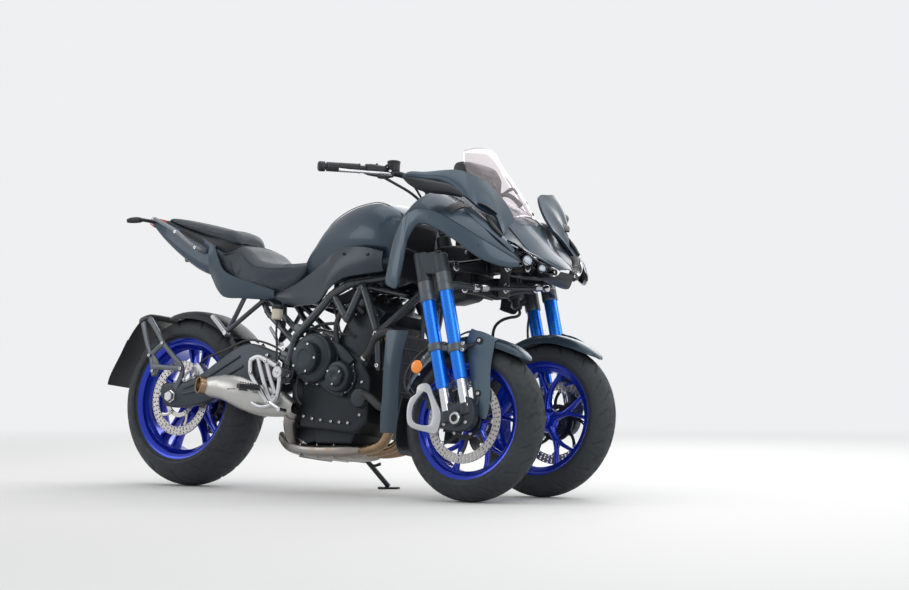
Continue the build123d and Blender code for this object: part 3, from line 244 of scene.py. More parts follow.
def round_box(sides, power):
    """Rounded square one each way: a circle whose sine and cosine are raised to a power."""
    angle = np.arange(sides) * 2 * math.pi / sides
    return [np.sign(f) * np.abs(f) ** power for f in (np.cos(angle), np.sin(angle))]


def tidy(mesh):
    """Merges doubled points, which drops faces with no area, and turns every face outwards."""
    work = bmesh.new()
    work.from_mesh(mesh)
    bmesh.ops.remove_doubles(work, verts=work.verts, dist=MERGED)
    bmesh.ops.recalc_face_normals(work, faces=work.faces)
    work.to_mesh(mesh)
    work.free()


def piece(name, shells, surface, body="frame", replaces=(), slot=None, place=None, crease=32, wall=0.0,
        soft_edge=0.0):
    """Joins shells into one object in the frame's metres, faces outwards, with its finish, body and nodes.

    The slot, the finish's own where none is given, is worked out but not used. The place is the body's, where
    none is given. A piece replaces the CAD node of its own name, or the nodes that it is given.
    """
    place = PLACES[body] if place is None else place
    slot = slot or SLOTS[surface.name]
    if not replaces and name in bpy.data.objects:
        replaces = [name]
    points, faces, start = [], [], 0
    for corners, quads in shells:
        points.append(corners)
        faces += [[k + start for k in quad] for quad in quads]
        start += len(corners)
    world = np.concatenate(points) @ place[:3, :3].T + place[:3, 3] + 0.0
    if not np.isfinite(world).all():
        raise ValueError(f"{name} has a point that is no number")
    mesh = bpy.data.meshes.new(name)
    mesh.from_pydata((world * MM).tolist(), [], faces)
    tidy(mesh)
    made = bpy.data.objects.new(name, mesh)
    bpy.context.scene.collection.objects.link(made)
    mesh.shade_smooth()
    mesh.set_sharp_from_angle(angle=math.radians(crease))
    if wall:
        shell = made.modifiers.new("wall", "SOLIDIFY")
        shell.thickness, shell.offset = wall * MM, -1
        shell.use_even_offset = True
    if soft_edge:
        edge = made.modifiers.new("edge", "BEVEL")
        edge.width, edge.segments, edge.angle_limit = soft_edge * MM, 2, math.radians(50)
        edge.harden_normals = True
    mesh.materials.append(surface)
    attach(made, body)
    if replaces:
        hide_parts(*replaces)
    return made


def each_side(name, shells, surface, body, replaces=None, **more):
    """The same piece at both front wheels, mirrored, on the body of its side."""
    for side, _ in SIDES:
        nodes = [f"{replaces}_{side}"] if replaces else ()
        piece(f"{name}_{side}", shells, surface, f"{body}_{side}", replaces=nodes, **more)


def lathe(rows, centre, around=96):
    """Surface turned about a wheel's axle: rows are (offset along Y, radius), centre is the wheel's
    middle."""
    rows = np.asarray(rows, float)
    angle = np.arange(around) * 2 * math.pi / around
    x = centre[0] + rows[:, 1:2] * np.cos(angle)
    z = centre[2] + rows[:, 1:2] * np.sin(angle)
    return np.stack([x, centre[1] + rows[:, :1] + 0 * x, z], -1)


def turned_ring(rows, centre, around=64):
    """Ring turned about the axle, whose rows close on themselves."""
    return sheet(lathe(rows, centre, around), round_rows=True, round_columns=True)


def tyre_shell(centre, radius, half, crown, flange, rim_half, cuts, cut_width):
    """Tread is an arc about the tyre's middle, walls bulge to the beads, and slanted cuts dip into the tread:
    a cut's place round the tyre moves on as it nears the shoulder."""
    top = math.asin(half / crown)
    angle = np.linspace(-top, top, 58)
    tread = np.stack([crown * np.sin(angle), radius - crown + crown * np.cos(angle)], 1)
    edge = tread[-1, 1]
    wall = flow([(half, edge), (half + 1.5, edge * 0.75 + flange * 0.25),
        (half - 2, edge * 0.35 + flange * 0.65), (rim_half + 9, flange + 5), (rim_half + 6, flange - 1),
        (rim_half + 2, flange - 6)], 3)[1:]
    rows = np.concatenate([wall[::-1] * (-1, 1), tread, wall])
    grid = lathe(rows, centre, around=TYRE_ROUND)
    across = np.clip(np.abs(rows[:, 0]) / half, 0, 1)[:, None]
    round_by = np.arange(TYRE_ROUND)[None] / TYRE_ROUND * cuts
    pitch = 2 * math.pi * radius / cuts
    depth = 0
    for lag, slant, near, far in ((0.0, 0.75, 0.10, 0.62), (0.5, 0.45, 0.42, 0.93)):
        shift = np.where(rows[:, :1] > 0, 0.5, 0.0)
        away = np.abs((round_by + lag + shift + slant * across ** 1.4 + 0.5) % 1 - 0.5) * pitch
        window = np.clip((across - near) / 0.06, 0, 1) * np.clip((far - across) / 0.08, 0, 1)
        depth = np.maximum(depth, np.clip((cut_width - away) / cut_width * 1.8, 0, 1) * window)
    middle = np.stack([centre[0] + 0 * grid[..., 0], grid[..., 1] * 0.35 + centre[1] * 0.65,
        centre[2] + 0 * grid[..., 0]], -1)
    inward = unit(middle - grid)
    wave = 0.5 * np.sin(rows[:, 1:2] * 1.9) * (across > 0.985)
    grid = grid + inward * (TREAD_CUT * depth + wave)[..., None]
    inner = lathe([(rim_half - 14, flange - 14), (rim_half * 0.8, edge - 10), (0, radius - 15),
        (-rim_half * 0.8, edge - 10), (-rim_half + 14, flange - 14)], centre, around=TYRE_ROUND)
    return sheet(np.concatenate([grid, inner]), round_rows=True, round_columns=True)


NOISE_LOW, NOISE_HIGH, BROAD_SCALE = 0.3, 0.7, 5.0
GRAIN_HEIGHT, FINE_HEIGHT, COAT_ROUGHNESS = 0.001, 0.0004, 0.08
SLOTS = {}


def noise(tree, scale, detail=4.0, stretch=None):
    """Noise on the piece's own place in metres, stretched along an axis where it is brushed or moulded so."""
    made = node(tree, "TexNoise", Scale=scale, Detail=detail)
    source = node(tree, "TexCoord").outputs["Object"]
    if stretch:
        mapping = node(tree, "Mapping", Scale=stretch)
        tree.links.new(source, mapping.inputs["Vector"])
        source = mapping.outputs["Vector"]
    tree.links.new(source, made.inputs["Vector"])
    return made.outputs["Fac"]


def span(tree, value, low, high):
    """The noise's usual range spread over another one."""
    made = node(tree, "MapRange", From_Min=NOISE_LOW, From_Max=NOISE_HIGH, To_Min=low, To_Max=high)
    tree.links.new(value, made.inputs["Value"])
    return made.outputs[0]


def finish(name, slot, colour, worn, rough, grain, bump, metal=0.0, coat=0.0, stretch=None, fine_bump=0.0,
        wear=0.25, **sockets):
    """A surface whose colour drifts between two tones and whose roughness and bump follow a grain.

    slot is the part's material slot that the finish shows. colour and worn are the two tones, rough is the
    range of roughness, grain is the noise's scale per metre, and sockets are further constants of the shader
    by name.
    """
    made = bpy.data.materials.new(name)
    SLOTS[made.name] = slot
    made.use_nodes = True
    tree = made.node_tree
    shader, link = tree.nodes["Principled BSDF"], tree.links.new
    for socket, value in dict(Metallic=metal, Coat_Weight=coat, Coat_Roughness=COAT_ROUGHNESS,
            **sockets).items():
        shader.inputs[socket.replace("_", " ")].default_value = value
    broad, small = noise(tree, BROAD_SCALE), noise(tree, grain, 6.0, stretch)
    tone, both = node(tree, "Mix"), node(tree, "Math")
    tone.data_type, both.operation = "RGBA", "MULTIPLY"
    tone.inputs["A"].default_value, tone.inputs["B"].default_value = (*colour, 1), (*worn, 1)
    link(span(tree, broad, 0, 1), both.inputs[0])
    link(span(tree, small, 1 - wear, 1), both.inputs[1])
    link(both.outputs[0], tone.inputs["Factor"])
    link(tone.outputs["Result"], shader.inputs["Base Color"])
    link(span(tree, small, *rough), shader.inputs["Roughness"])
    relief = node(tree, "Bump", Strength=bump, Distance=GRAIN_HEIGHT)
    link(small, relief.inputs["Height"])
    if fine_bump:
        second = node(tree, "Bump", Strength=fine_bump, Distance=FINE_HEIGHT)
        link(noise(tree, 900.0, 2.0), second.inputs["Height"])
        link(relief.outputs["Normal"], second.inputs["Normal"])
        relief = second
    link(relief.outputs["Normal"], shader.inputs["Normal"])
    return made


tyre_rubber = finish("tyre_rubber", "rubber", (0.011, 0.015, 0.019), (0.028, 0.034, 0.041), (0.55, 0.8), 60.0,
    0.12, fine_bump=0.25)
# Both front tyres are the same moulding, so the right one isn't mirrored.
for name, side in SIDES:
    body = f"wheel_{name}"
    piece(f"tyre_front_{name}", [tyre_shell(FRONT_HUB, **FRONT_TYRE)], tyre_rubber, body,
        [f"front_tyre_{name}"], place=PLACES[body] @ MIRROR[name], crease=40)
piece("tyre_rear", [tyre_shell(REAR_HUB, **REAR_TYRE)], tyre_rubber, "rear_wheel", ["rear_tyre"], crease=40)


# Cast wheels
# Aluminium castings in deep metallic blue: five forked spokes in front and five double ones behind, on round
# hubs with bearings and seals, and a valve in the well.
FRONT_RIM_HALF = [(24, 178), (30, 190), (44, 191), (46, 196), (47, 205), (52, 206), (53.5, 203), (52, 196),
    (46, 187), (33, 183), (27, 171)]
REAR_RIM_HALF = [(40, 198), (58, 215), (72, 216), (74, 220), (75, 230), (80, 231.5), (81.5, 228), (80, 220),
    (72, 210), (56, 205), (42, 190)]
FRONT_RIM_ROWS, REAR_RIM_ROWS = (half + [(-y, r) for y, r in half[::-1]]
    for half in (FRONT_RIM_HALF, REAR_RIM_HALF))
wheel_blue = finish("wheel_blue", "blue_rim", (0.004, 0.024, 0.38), (0.006, 0.036, 0.5), (0.22, 0.34), 700.0,
    0.05, metal=0.75, coat=0.6)
dark_steel = finish("dark_steel", "steel", (0.05, 0.055, 0.062), (0.09, 0.095, 0.1), (0.3, 0.45), 200.0, 0.08,
    metal=0.9)
bright_steel = finish("bright_steel", "steel", (0.62, 0.63, 0.65), (0.5, 0.5, 0.52), (0.14, 0.3), 180.0, 0.04,
    metal=1.0)


def strut(path, widths, depths, side_of=(0, 1, 0), steps=6, square=0.7, sides=20):
    """Tapering arm along a smooth path: each section is a rounded box, a circle whose sine and cosine are
    raised to a power, wide across the path and deep along the given direction."""
    line = flow(path, steps)
    size = flow(np.stack([widths, depths], 1), steps)
    tangent = unit(np.gradient(line, axis=0))
    deep = unit(np.asarray(side_of, float) - tangent * (tangent @ np.asarray(side_of, float))[:, None])
    wide = np.cross(deep, tangent)
    c, s = round_box(sides, square)
    grid = (line[:, None] + wide[:, None] * (size[:, :1] / 2 * c)[..., None] + deep[:, None]
        * (size[:, 1:] / 2 * s)[..., None])
    return body_of(grid)


def out_at(centre, radius, degrees, offset=0.0):
    angle = math.radians(degrees)
    return (centre[0] + radius * math.cos(angle), centre[1] + offset, centre[2] + radius * math.sin(angle))


def spun(start, end, rows, sides=32):
    """Turned part on the line from start to end: rows are (distance along, radius), closed at both ends."""
    along, rows = unit(np.subtract(end, start)), np.asarray(rows, float)
    u = unit(np.cross(along, np.eye(3)[np.argmin(np.abs(along))]))
    angle = np.arange(sides)[:, None] * 2 * math.pi / sides
    ring = np.cos(angle) * u + np.sin(angle) * np.cross(along, u)
    grid = np.asarray(start, float) + rows[:, :1, None] * along + rows[:, 1:, None] * ring
    return body_of(grid)


def rod(start, end, radius, sides=24, bevel=None):
    """Round bar with a small chamfer at both ends."""
    long = float(np.linalg.norm(np.subtract(end, start)))
    c = min(radius * 0.16, 2.0) if bevel is None else bevel
    return spun(start, end, [(0, radius - c), (c, radius), (long - c, radius), (long, radius - c)], sides)


def ring_bolts(centre, circle, count, offset, out, head):
    """Socket screws on a circle round the axle, from its top: each a head with its chamfer and its sunk
    socket."""
    screws = []
    for k in range(count):
        at = out_at(centre, circle, 90 + 360 * k / count, offset)
        tip = (at[0], at[1] + out, at[2])
        long = abs(out)
        screws.append(spun(at, tip, [(0, head), (long * 0.8, head), (long, head * 0.82), (long, head * 0.5),
            (long * 0.55, head * 0.5)], 14))
    return screws


def front_wheel():
    shells = [turned_ring(FRONT_RIM_ROWS, FRONT_HUB, 120), turned_ring([(-40, 15), (-40, 27), (-36, 33),
        (-18, 40), (0, 46), (18, 42), (38, 34), (44, 30), (44, 15)], FRONT_HUB)]
    for middle in range(90, 450, 72):
        shells.append(strut([out_at(FRONT_HUB, r, middle, y) for r, y in ((34, 0), (64, -3), (94, -7))],
            (34, 24, 27), (46, 34, 26), steps=5))
        for turn in (-1, 1):
            path = [out_at(FRONT_HUB, r, middle + turn * a, y) for r, a,
                y in ((84, 2, -6), (112, 6, -8), (146, 11.5, -6), (177, 15, -2))]
            shells.append(strut(path, (18, 15, 13, 19), (26, 23, 24, 34), steps=5))
    shells.append(rod(out_at(FRONT_HUB, 168, 52, -20), out_at(FRONT_HUB, 150, 54, -44), 4))
    return shells


def rear_wheel():
    shells = [turned_ring(REAR_RIM_ROWS, REAR_HUB, 132), turned_ring([(-62, 16), (-62, 34), (-56, 42),
        (-34, 52), (0, 56), (34, 54), (56, 46), (64, 40), (64, 16)], REAR_HUB)]
    for middle in range(90, 450, 72):
        for turn in (-1, 1):
            path = [out_at(REAR_HUB, r, middle + turn * a) for r,
                a in ((42, 24), (84, 14), (138, 10), (196, 10.5))]
            shells.append(strut(path, (28, 20, 15, 20), (62, 52, 44, 56)))
    return shells


def hub_seals(centre, offsets, radius):
    """Bearing seals and spacers either side of the hub."""
    rings = [(y, y + math.copysign(3, y)) for y in offsets]
    return [turned_ring([(y, 15), (y, radius), (out, radius - 3), (out, 15)], centre, 40) for y, out in rings]


each_side("cast_wheel_front", front_wheel(), wheel_blue, "wheel", "front_rim")
each_side("wheel_seals_front", hub_seals(FRONT_HUB, (-40, 44), 24), dark_steel, "wheel")
piece("cast_wheel_rear", rear_wheel(), wheel_blue, "rear_wheel", ["rear_rim"])
piece("wheel_seals_rear", hub_seals(REAR_HUB, (-62, 64), 30), dark_steel, "rear_wheel")


# Brake discs
# Stainless rings drilled right through, floating on buttons between them and black carriers bolted to the
# hubs.
DISC_THICK, HOLE_ROWS = 5.0, 3
disc_steel = finish("disc_steel", "steel", (0.52, 0.5, 0.48), (0.42, 0.41, 0.4), (0.24, 0.42), 260.0, 0.06,
    metal=1.0)
carrier_black = finish("carrier_black", "frame_steel", (0.01, 0.013, 0.017), (0.024, 0.028, 0.034),
    (0.35, 0.5), 300.0, 0.08, metal=0.3)


def drilled_ring(centre, offset, inner, outer, cells, hole):
    """Disc ring as cells round and across it: each cell runs from its drilled hole out to its own square
    edge."""
    turn = np.arange(24) * 2 * math.pi / 24
    square = np.maximum(np.abs(np.cos(turn)), np.abs(np.sin(turn)))
    u, v = np.cos(turn) / square, np.sin(turn) / square
    i, j = np.meshgrid(np.arange(cells), np.arange(HOLE_ROWS), indexing="ij")
    step, high = 2 * math.pi / cells, (outer - inner) / HOLE_ROWS
    angle, radius = i * step, inner + (j + 0.5) * high
    slide = 0.26 * ((i + j) % 3 - 1) * high
    edge = np.stack([angle[..., None] + u * step / 2, radius[..., None] + v * high / 2 + 0
        * angle[..., None]], -1)
    spot = radius + slide * 0.6
    drill = np.stack([angle[..., None] + hole * np.cos(turn) / spot[..., None],
        spot[..., None] + hole * np.sin(turn)], -1)
    shells = []
    for a, b, y0, y1 in ((edge, drill, DISC_THICK / 2, DISC_THICK / 2),
            (drill, drill, DISC_THICK / 2, -DISC_THICK / 2), (drill, edge, -DISC_THICK / 2, -DISC_THICK / 2)):
        rings = np.stack([a, b], 2)
        y = np.array([y0, y1])[None, None, :, None] + 0 * rings[..., 0]
        shells.append(np.stack([rings[..., 0], rings[..., 1], y], -1))
    grid = np.concatenate(shells, 2).reshape(-1, 6, 24, 3)
    angle, radius, y = grid[..., 0], grid[..., 1], grid[..., 2]
    points = np.stack([centre[0] + radius * np.cos(angle), centre[1] + offset + y,
        centre[2] + radius * np.sin(angle)], -1)
    count = len(points)
    k = np.arange(count)[:, None, None] * 144
    r, c = np.arange(5)[None, :, None] * 24, np.arange(24)[None, None, :]
    quads = np.stack([k + r + c, k + r + 24 + c, k + r + 24 + (c + 1) % 24, k + r + (c + 1) % 24],
        -1).reshape(-1, 4)
    ring = points.reshape(-1, 3), quads.tolist()
    edges = [lathe([(offset - DISC_THICK / 2, r), (offset + DISC_THICK / 2, r)], centre, cells * 6)
        for r in (inner, outer)]
    return [ring, *(sheet(edge, round_columns=True) for edge in edges)]


def disc_carrier(centre, offset, hub, inner, arms):
    """Flat carrier of curved arms from a bolted ring to the buttons."""
    shells = [turned_ring([(offset - 4, hub - 16), (offset - 4, hub), (offset + 4, hub),
        (offset + 4, hub - 16)], centre)]
    for k in range(arms):
        a = 360 / arms * k
        path = [out_at(centre, r, a + d, offset) for r, d in ((hub - 6, 16), ((hub + inner) / 2, 9),
            (inner + 3, 0))]
        shells.append(strut(path, (17, 11, 14), (DISC_THICK,) * 3, steps=4, square=0.5, sides=12))
    return shells


def disc_buttons(centre, offset, circle, count):
    around = [(out_at(centre, circle, 360 / count * k, offset - 5),
        out_at(centre, circle, 360 / count * k, offset + 5)) for k in range(count)]
    return [spun(low, high, [(0, 5), (1, 7), (9, 7), (10, 5)], 16) for low, high in around]


FRONT_DISC_Y, REAR_DISC_Y, SPROCKET_Y = 68.0, -88.0, 107.0
each_side("brake_disc_front", drilled_ring(FRONT_HUB, FRONT_DISC_Y, 117, 149, 54, 2.9), disc_steel, "wheel",
    "front_disc")
each_side("disc_carrier_front", disc_carrier(FRONT_HUB, FRONT_DISC_Y, 66, 112, 8), carrier_black, "wheel",
    slot="cast_dark")
fixings = disc_buttons(FRONT_HUB, FRONT_DISC_Y, 115, 8) + ring_bolts(FRONT_HUB, 56, 5, FRONT_DISC_Y + 4, 6, 6)
each_side("disc_fixings_front", fixings, bright_steel, "wheel")
piece("brake_disc_rear", drilled_ring(REAR_HUB, REAR_DISC_Y, 108, 141, 48, 3.2), disc_steel, "rear_wheel")
piece("disc_carrier_rear", disc_carrier(REAR_HUB, REAR_DISC_Y, 72, 104, 5), disc_steel, "rear_wheel")
piece("disc_fixings_rear", ring_bolts(REAR_HUB, 64, 5, REAR_DISC_Y - 4, -6, 7), bright_steel, "rear_wheel")


# Forks
# Each front wheel hangs on one fork outside it: two blue anodised tubes with chrome sliders below, machined
# collars under a cast two-lobed bracket, a bolted clamp half way down and a cast foot that takes the axle
# from one side.
FORK_LEAN, FORK_OUT, FORK_DATUM = 18.0, 107.0, 679.0
CALIPER_ANGLE, CALIPER_DEEP, CALIPER_GAP = 152.0, 34.0, 5.0
FORK_LEGS = ((1336.0, 287.0, 383.0, 679.0, 746.0), (1417.0, 318.0, 418.0, 717.0, 780.0))
fork_blue = finish("fork_blue", "blue_tube", (0.004, 0.18, 0.8), (0.005, 0.19, 0.83), (0.27, 0.28), 500.0,
    0.006, metal=0.7, coat=0.35, stretch=(1, 1, 0.05))
collar_grey = finish("collar_grey", "cast_dark", (0.085, 0.098, 0.115), (0.125, 0.14, 0.158), (0.3, 0.44),
    420.0, 0.1, metal=0.6, fine_bump=0.15)
moulded_black = finish("moulded_black", "black_plastic", (0.005, 0.008, 0.011), (0.011, 0.015, 0.019),
    (0.42, 0.58), 900.0, 0.12, fine_bump=0.3)
chrome = finish("slider_chrome", "steel", (0.82, 0.83, 0.85), (0.74, 0.75, 0.78), (0.06, 0.14), 400.0, 0.01,
    metal=1.0)
cast_dark = finish("cast_dark", "cast_dark", (0.022, 0.03, 0.039), (0.042, 0.052, 0.064), (0.38, 0.55), 420.0,
    0.18, metal=0.35, fine_bump=0.25)
cast_silver = finish("cast_silver", "cast_silver", (0.46, 0.47, 0.49), (0.6, 0.61, 0.63), (0.3, 0.46), 380.0,
    0.14, metal=0.9, fine_bump=0.15)
reflector_orange = finish("reflector_orange", "lamp", (0.9, 0.2, 0.005), (0.95, 0.3, 0.02), (0.08, 0.2),
    900.0, 0.5, coat=1.0)
hose_rubber = finish("hose_rubber", "rubber", (0.012, 0.013, 0.015), (0.03, 0.03, 0.033), (0.42, 0.6), 240.0,
    0.1)


def leg_at(row, z):
    return (row + (FORK_DATUM - z) * math.tan(math.radians(FORK_LEAN)), FORK_OUT, z)


def leg_part(row, rows):
    """Turned part on a fork leg: rows are (height, radius) from below."""
    stretch = 1 / math.cos(math.radians(FORK_LEAN))
    return spun(leg_at(row, rows[0][0]), leg_at(row, rows[-1][0]),
        [((z - rows[0][0]) * stretch, r) for z, r in rows], 40)


def tube(path, radius, sides=14, steps=6, straight=False):
    """Round tube along a smooth path: each ring stands across the path, turned from the path's flattest
    direction."""
    line = np.asarray(path, float) if straight else flow(path, steps)
    tangent = np.gradient(line, axis=0)
    tangent /= np.linalg.norm(tangent, axis=1, keepdims=True) + 1e-12
    flat = np.linalg.svd(tangent, full_matrices=False)[2][-1]
    u = np.cross(tangent, flat)
    u /= np.linalg.norm(u, axis=1, keepdims=True)
    v = np.cross(tangent, u)
    angle = np.arange(sides) * 2 * math.pi / sides
    thick = np.broadcast_to(np.asarray(radius, float).reshape(-1, 1, 1),
        (len(line), 1, 1)) if np.ndim(radius) else radius
    grid = line[:, None] + thick * (np.cos(angle)[None, :, None] * u[:, None] + np.sin(angle)[None, :, None]
        * v[:, None])
    return body_of(grid)


def casting(outline, middle, thick, edge, smooth=5, holes=(), across=(0, 1, 0), along=(1, 0, 0)):
    """Flat casting with rounded edges: its outline and holes are smooth closed lines in a plane, given along
    one direction and its square, and the plate is thick across them. Its middle is a point, or its Y
    alone."""
    curve = bpy.data.curves.new("casting", "CURVE")
    curve.dimensions, curve.fill_mode = "2D", "BOTH"
    curve.extrude, curve.bevel_depth, curve.bevel_resolution = max(thick / 2 - edge, 0.05), edge, 2
    for line in (outline, *holes):
        points = flow(line, smooth, closed=True) if smooth > 1 else np.asarray(line, float)
        spline = curve.splines.new("POLY")
        spline.points.add(len(points) - 1)
        spline.points.foreach_set("co", np.c_[points, 0 * points[:, 0], 0 * points[:, 0] + 1].ravel())
        spline.use_cyclic_u = True
    holder = bpy.data.objects.new("casting", curve)
    mesh = bpy.data.meshes.new_from_object(holder)
    flat = np.empty(len(mesh.vertices) * 3)
    mesh.vertices.foreach_get("co", flat)
    flat = flat.reshape(-1, 3)
    faces = [list(face.vertices) for face in mesh.polygons]
    bpy.data.objects.remove(holder)
    bpy.data.meshes.remove(mesh)
    bpy.data.curves.remove(curve)
    across, along = np.asarray(across, float), np.asarray(along, float)
    up = np.cross(along, across)
    up = up if up[2] >= 0 else -up
    middle = np.asarray(middle if np.ndim(middle) else (0, middle, 0), float)
    return middle + flat[:, :1] * along + flat[:, 1:2] * up + flat[:, 2:] * across, faces


def screw(at, out, head=7.0, tall=7.0):
    """Socket screw whose head stands out in a direction."""
    at, out = np.asarray(at, float), np.asarray(out, float)
    tip = at + out / np.linalg.norm(out) * tall
    return spun(at, tip, [(-tall * 0.3, head), (tall * 0.75, head), (tall, head * 0.8), (tall, head * 0.5),
        (tall * 0.4, head * 0.45)], 14)


def axis_at(z):
    """X of a fork's steering axis at a height."""
    return AXIS_FOOT_X - (z - AXIS_FOOT_Z) * math.tan(math.radians(CASTER))


def screws(points, out=(0, 1, 0), head=6.0, tall=6.0):
    return [screw(at, out, head, tall) for at in points]


def screw_circle(x, y, z, radius, count, first, head, tall):
    """Screws on a circle on a side cover, heads outwards."""
    angles = first + np.arange(count) * 2 * math.pi / count
    return screws([(x + radius * math.cos(a), y, z + radius * math.sin(a)) for a in angles],
        (0, math.copysign(1, y), 0), head, tall)


def fork_casting():
    """Two-lobed top bracket: a deep cast box round both legs with arched fronts, and its arm in to the
    stem."""
    shells = []
    for row, foot, slider, top, collar in FORK_LEGS:
        shells.append(leg_part(row, [(collar - 2, 27), (collar, 28), (collar + 18, 26.5), (834, 26.5),
            (843, 26), (846, 23)]))
    rings = []
    c, s = round_box(56, 0.8)
    for z, half_x, half_y in ((776, 46, 22), (790, 56, 24), (822, 66, 26), (842, 69, 26), (849, 66, 23)):
        rings.append(np.stack([leg_at(1377, z)[0] + half_x * c, FORK_OUT + half_y * s, z + 0 * c], 1))
    shells.append(body_of(flow(rings, 4)))
    shells.append(strut([(1330, 93, 820), (1306, 74, 840), (1288, 44, 856), (1276, 0, 862)], (66, 44, 42, 42),
        (34, 24, 18, 14), side_of=UP))
    shells.append(rod((axis_at(852), 0, 852), (axis_at(870), 0, 870), 25))
    at = leg_at(FORK_LEGS[0][0], 724)
    shells.append(strut([at, (at[0] - 30, 61, 698), (axis_at(678), 0, 678)], (40, 32, 36), (38, 26, 20),
        side_of=UP))
    shells.append(rod((axis_at(684), 0, 672), (axis_at(850), 0, 850), 14))
    shells.append(strut([(1412, FORK_OUT, 738), (1438, 68, 744), (1452, 34, 745)], (30, 24, 18),
        (24, 20, 18)))
    shells.append(rod((1452, 17, 745), (1452, 42, 745), 9))
    return shells


def fork_foot():
    """Cast foot under both legs: leg sockets, a deep web, the axle clamp with its pinch screws and the
    caliper arm."""
    shells = []
    for row, foot, slider, top, collar in FORK_LEGS:
        shells.append(leg_part(row, [(foot - 30, 19), (foot - 26, 24), (foot, 24.5), (foot + 8, 23),
            (foot + 10, 19)]))
    outline = [(1440, 300), (1444, 262), (1468, 240), (1510, 236), (1556, 246), (1574, 280), (1562, 330),
        (1536, 348), (1512, 330), (1486, 312), (1466, 326)]
    shells.append(casting(outline, FORK_OUT - 4, 34, 5))
    shells.append(spun(on_axle(83), on_axle(131), [(0, 24), (3, 28), (40, 28), (46, 26), (48, 17), (40, 15),
        (24, 15)], 40))
    shells.append(strut([(1470, 97, 300), (1446, 83, 336), (1428, 77, 372)], (44, 36, 40), (30, 26, 22)))
    shells.append(strut([(1470, 97, 262), (1430, 83, 280), (1404, 77, 300)], (34, 28, 30), (26, 22, 20)))
    return shells


def on_axle(y):
    return (WHEELBASE, y, FRONT_AXLE_Z)


def front_caliper():
    """Four-piston caliper over the disc's edge: two half shells bridged above the disc, and pistons."""
    shells = []
    for turn in (-1, 1):
        half_y = turn * (CALIPER_GAP + CALIPER_DEEP / 4 + 3)
        path = [out_at(FRONT_HUB, 126, CALIPER_ANGLE + a, FRONT_DISC_Y + half_y) for a in (-15, -8, 0, 8, 15)]
        shells.append(strut(path, (42, 56, 60, 56, 42), (CALIPER_DEEP / 2,) * 5, steps=5, square=0.45))
        for a in (-8, 8):
            piston_y = FRONT_DISC_Y + turn * (CALIPER_GAP + CALIPER_DEEP / 2 + 1)
            at, tip = (out_at(FRONT_HUB, 124, CALIPER_ANGLE + a, piston_y + out) for out in (0, turn * 8))
            shells.append(spun(at, tip, [(0, 16), (5, 15.5), (8, 12), (7, 8), (5, 7)], 24))
    path = [out_at(FRONT_HUB, 155, CALIPER_ANGLE + a, FRONT_DISC_Y) for a in (-15, -5, 5, 15)]
    return [*shells, strut(path, (12, 15, 15, 12), (CALIPER_DEEP + 10,) * 4, steps=5, square=0.4)]


blue, bright, collars, clamp = [], [], [], []
for row, foot, slider, top, collar in FORK_LEGS:
    blue.append(leg_part(row, [(slider - 8, 20), (slider - 6, 22.5), (slider + 2, 23), (slider + 6, 24),
        (top + 4, 24)]))
    bright.append(leg_part(row, [(foot - 4, 17.5), (slider, 17.5)]))
    collars.append(leg_part(row, [(top, 24), (top, 27), (top + 3, 28), (top + 22, 28), (top + 23, 27.2),
        (top + 25, 27.2), (top + 26, 28), (top + 30, 28), (top + 31, 27.2), (top + 33, 27.2), (top + 34, 28),
        (collar, 28)]))
    clamp.append(leg_part(row, [(504, 25), (505, 29), (508, 30), (528, 30), (531, 29), (532, 25)]))
each_side("fork_tubes", blue, fork_blue, "fork")
each_side("fork_sliders", bright, chrome, "fork")
each_side("fork_collars", collars, collar_grey, "fork")
each_side("fork_bracket", fork_casting(), cast_dark, "fork", "fork")
near, ear = leg_at(FORK_LEGS[0][0], 518), leg_at(FORK_LEGS[1][0], 518)
clamp += [strut([near, tuple(np.add(near, ear) / 2), ear], (26, 22, 26), (28, 20, 28), steps=3),
    strut([ear, (ear[0] + 30, 115, 522), (ear[0] + 44, 117, 524)], (26, 26, 22), (24, 20, 16)),
    strut([leg_at(FORK_LEGS[0][0], 512), (1350, 107, 490), (1330, 105, 462)], (22, 16, 18), (14, 8, 7))]
each_side("fork_clamp", clamp, collar_grey, "fork")
each_side("fork_foot", fork_foot() + front_caliper(), cast_dark, "fork")
bits = [spun(on_axle(123), on_axle(135), [(0, 21), (10, 21), (12, 19), (12, 13), (2, 12)], 36),
    rod(on_axle(-47), on_axle(-40), 20), rod(on_axle(-40), on_axle(87), 12.5)]
SCREWS = (((ear[0] + 38, 119, 512), 7), ((ear[0] + 38, 119, 534), 7), ((ear[0] + 16, 119, 512), 7),
    ((1550, 119, 262), 6), ((1548, 119, 322), 6), ((1462, 119, 252), 6), ((1343, 109, 484), 5),
    ((1330, 109, 424), 5))
bits += [screw(at, (0, 1, 0), size, size) for at, size in SCREWS]
each_side("fork_fixings", bits, bright_steel, "fork")
# A black disc at the bottom of the axle nut's bore: painted shade in the recess.
each_side("axle_recess_shade", [spun(on_axle(124), on_axle(127), [(0, 12.6), (3, 12.6)], 30)], moulded_black,
    "fork")
lens = spun((1318, 109, 450), (1318, 120, 450), [(0, 20), (2, 23), (6, 23), (9, 20), (11, 13)], 40)
each_side("reflector", [lens], reflector_orange, "fork")
guard = [(1334, 352), (1337, 378), (1356, 389), (1380, 385), (1397, 357), (1418, 323), (1436, 295),
    (1442, 272), (1438, 245), (1428, 222), (1392, 226), (1338, 236), (1314, 248), (1304, 282), (1305, 318),
    (1316, 342)]
window = [(1337, 342), (1321, 312), (1320, 272), (1335, 252), (1376, 243), (1402, 247), (1412, 270),
    (1406, 304), (1392, 338), (1376, 362), (1354, 364)]
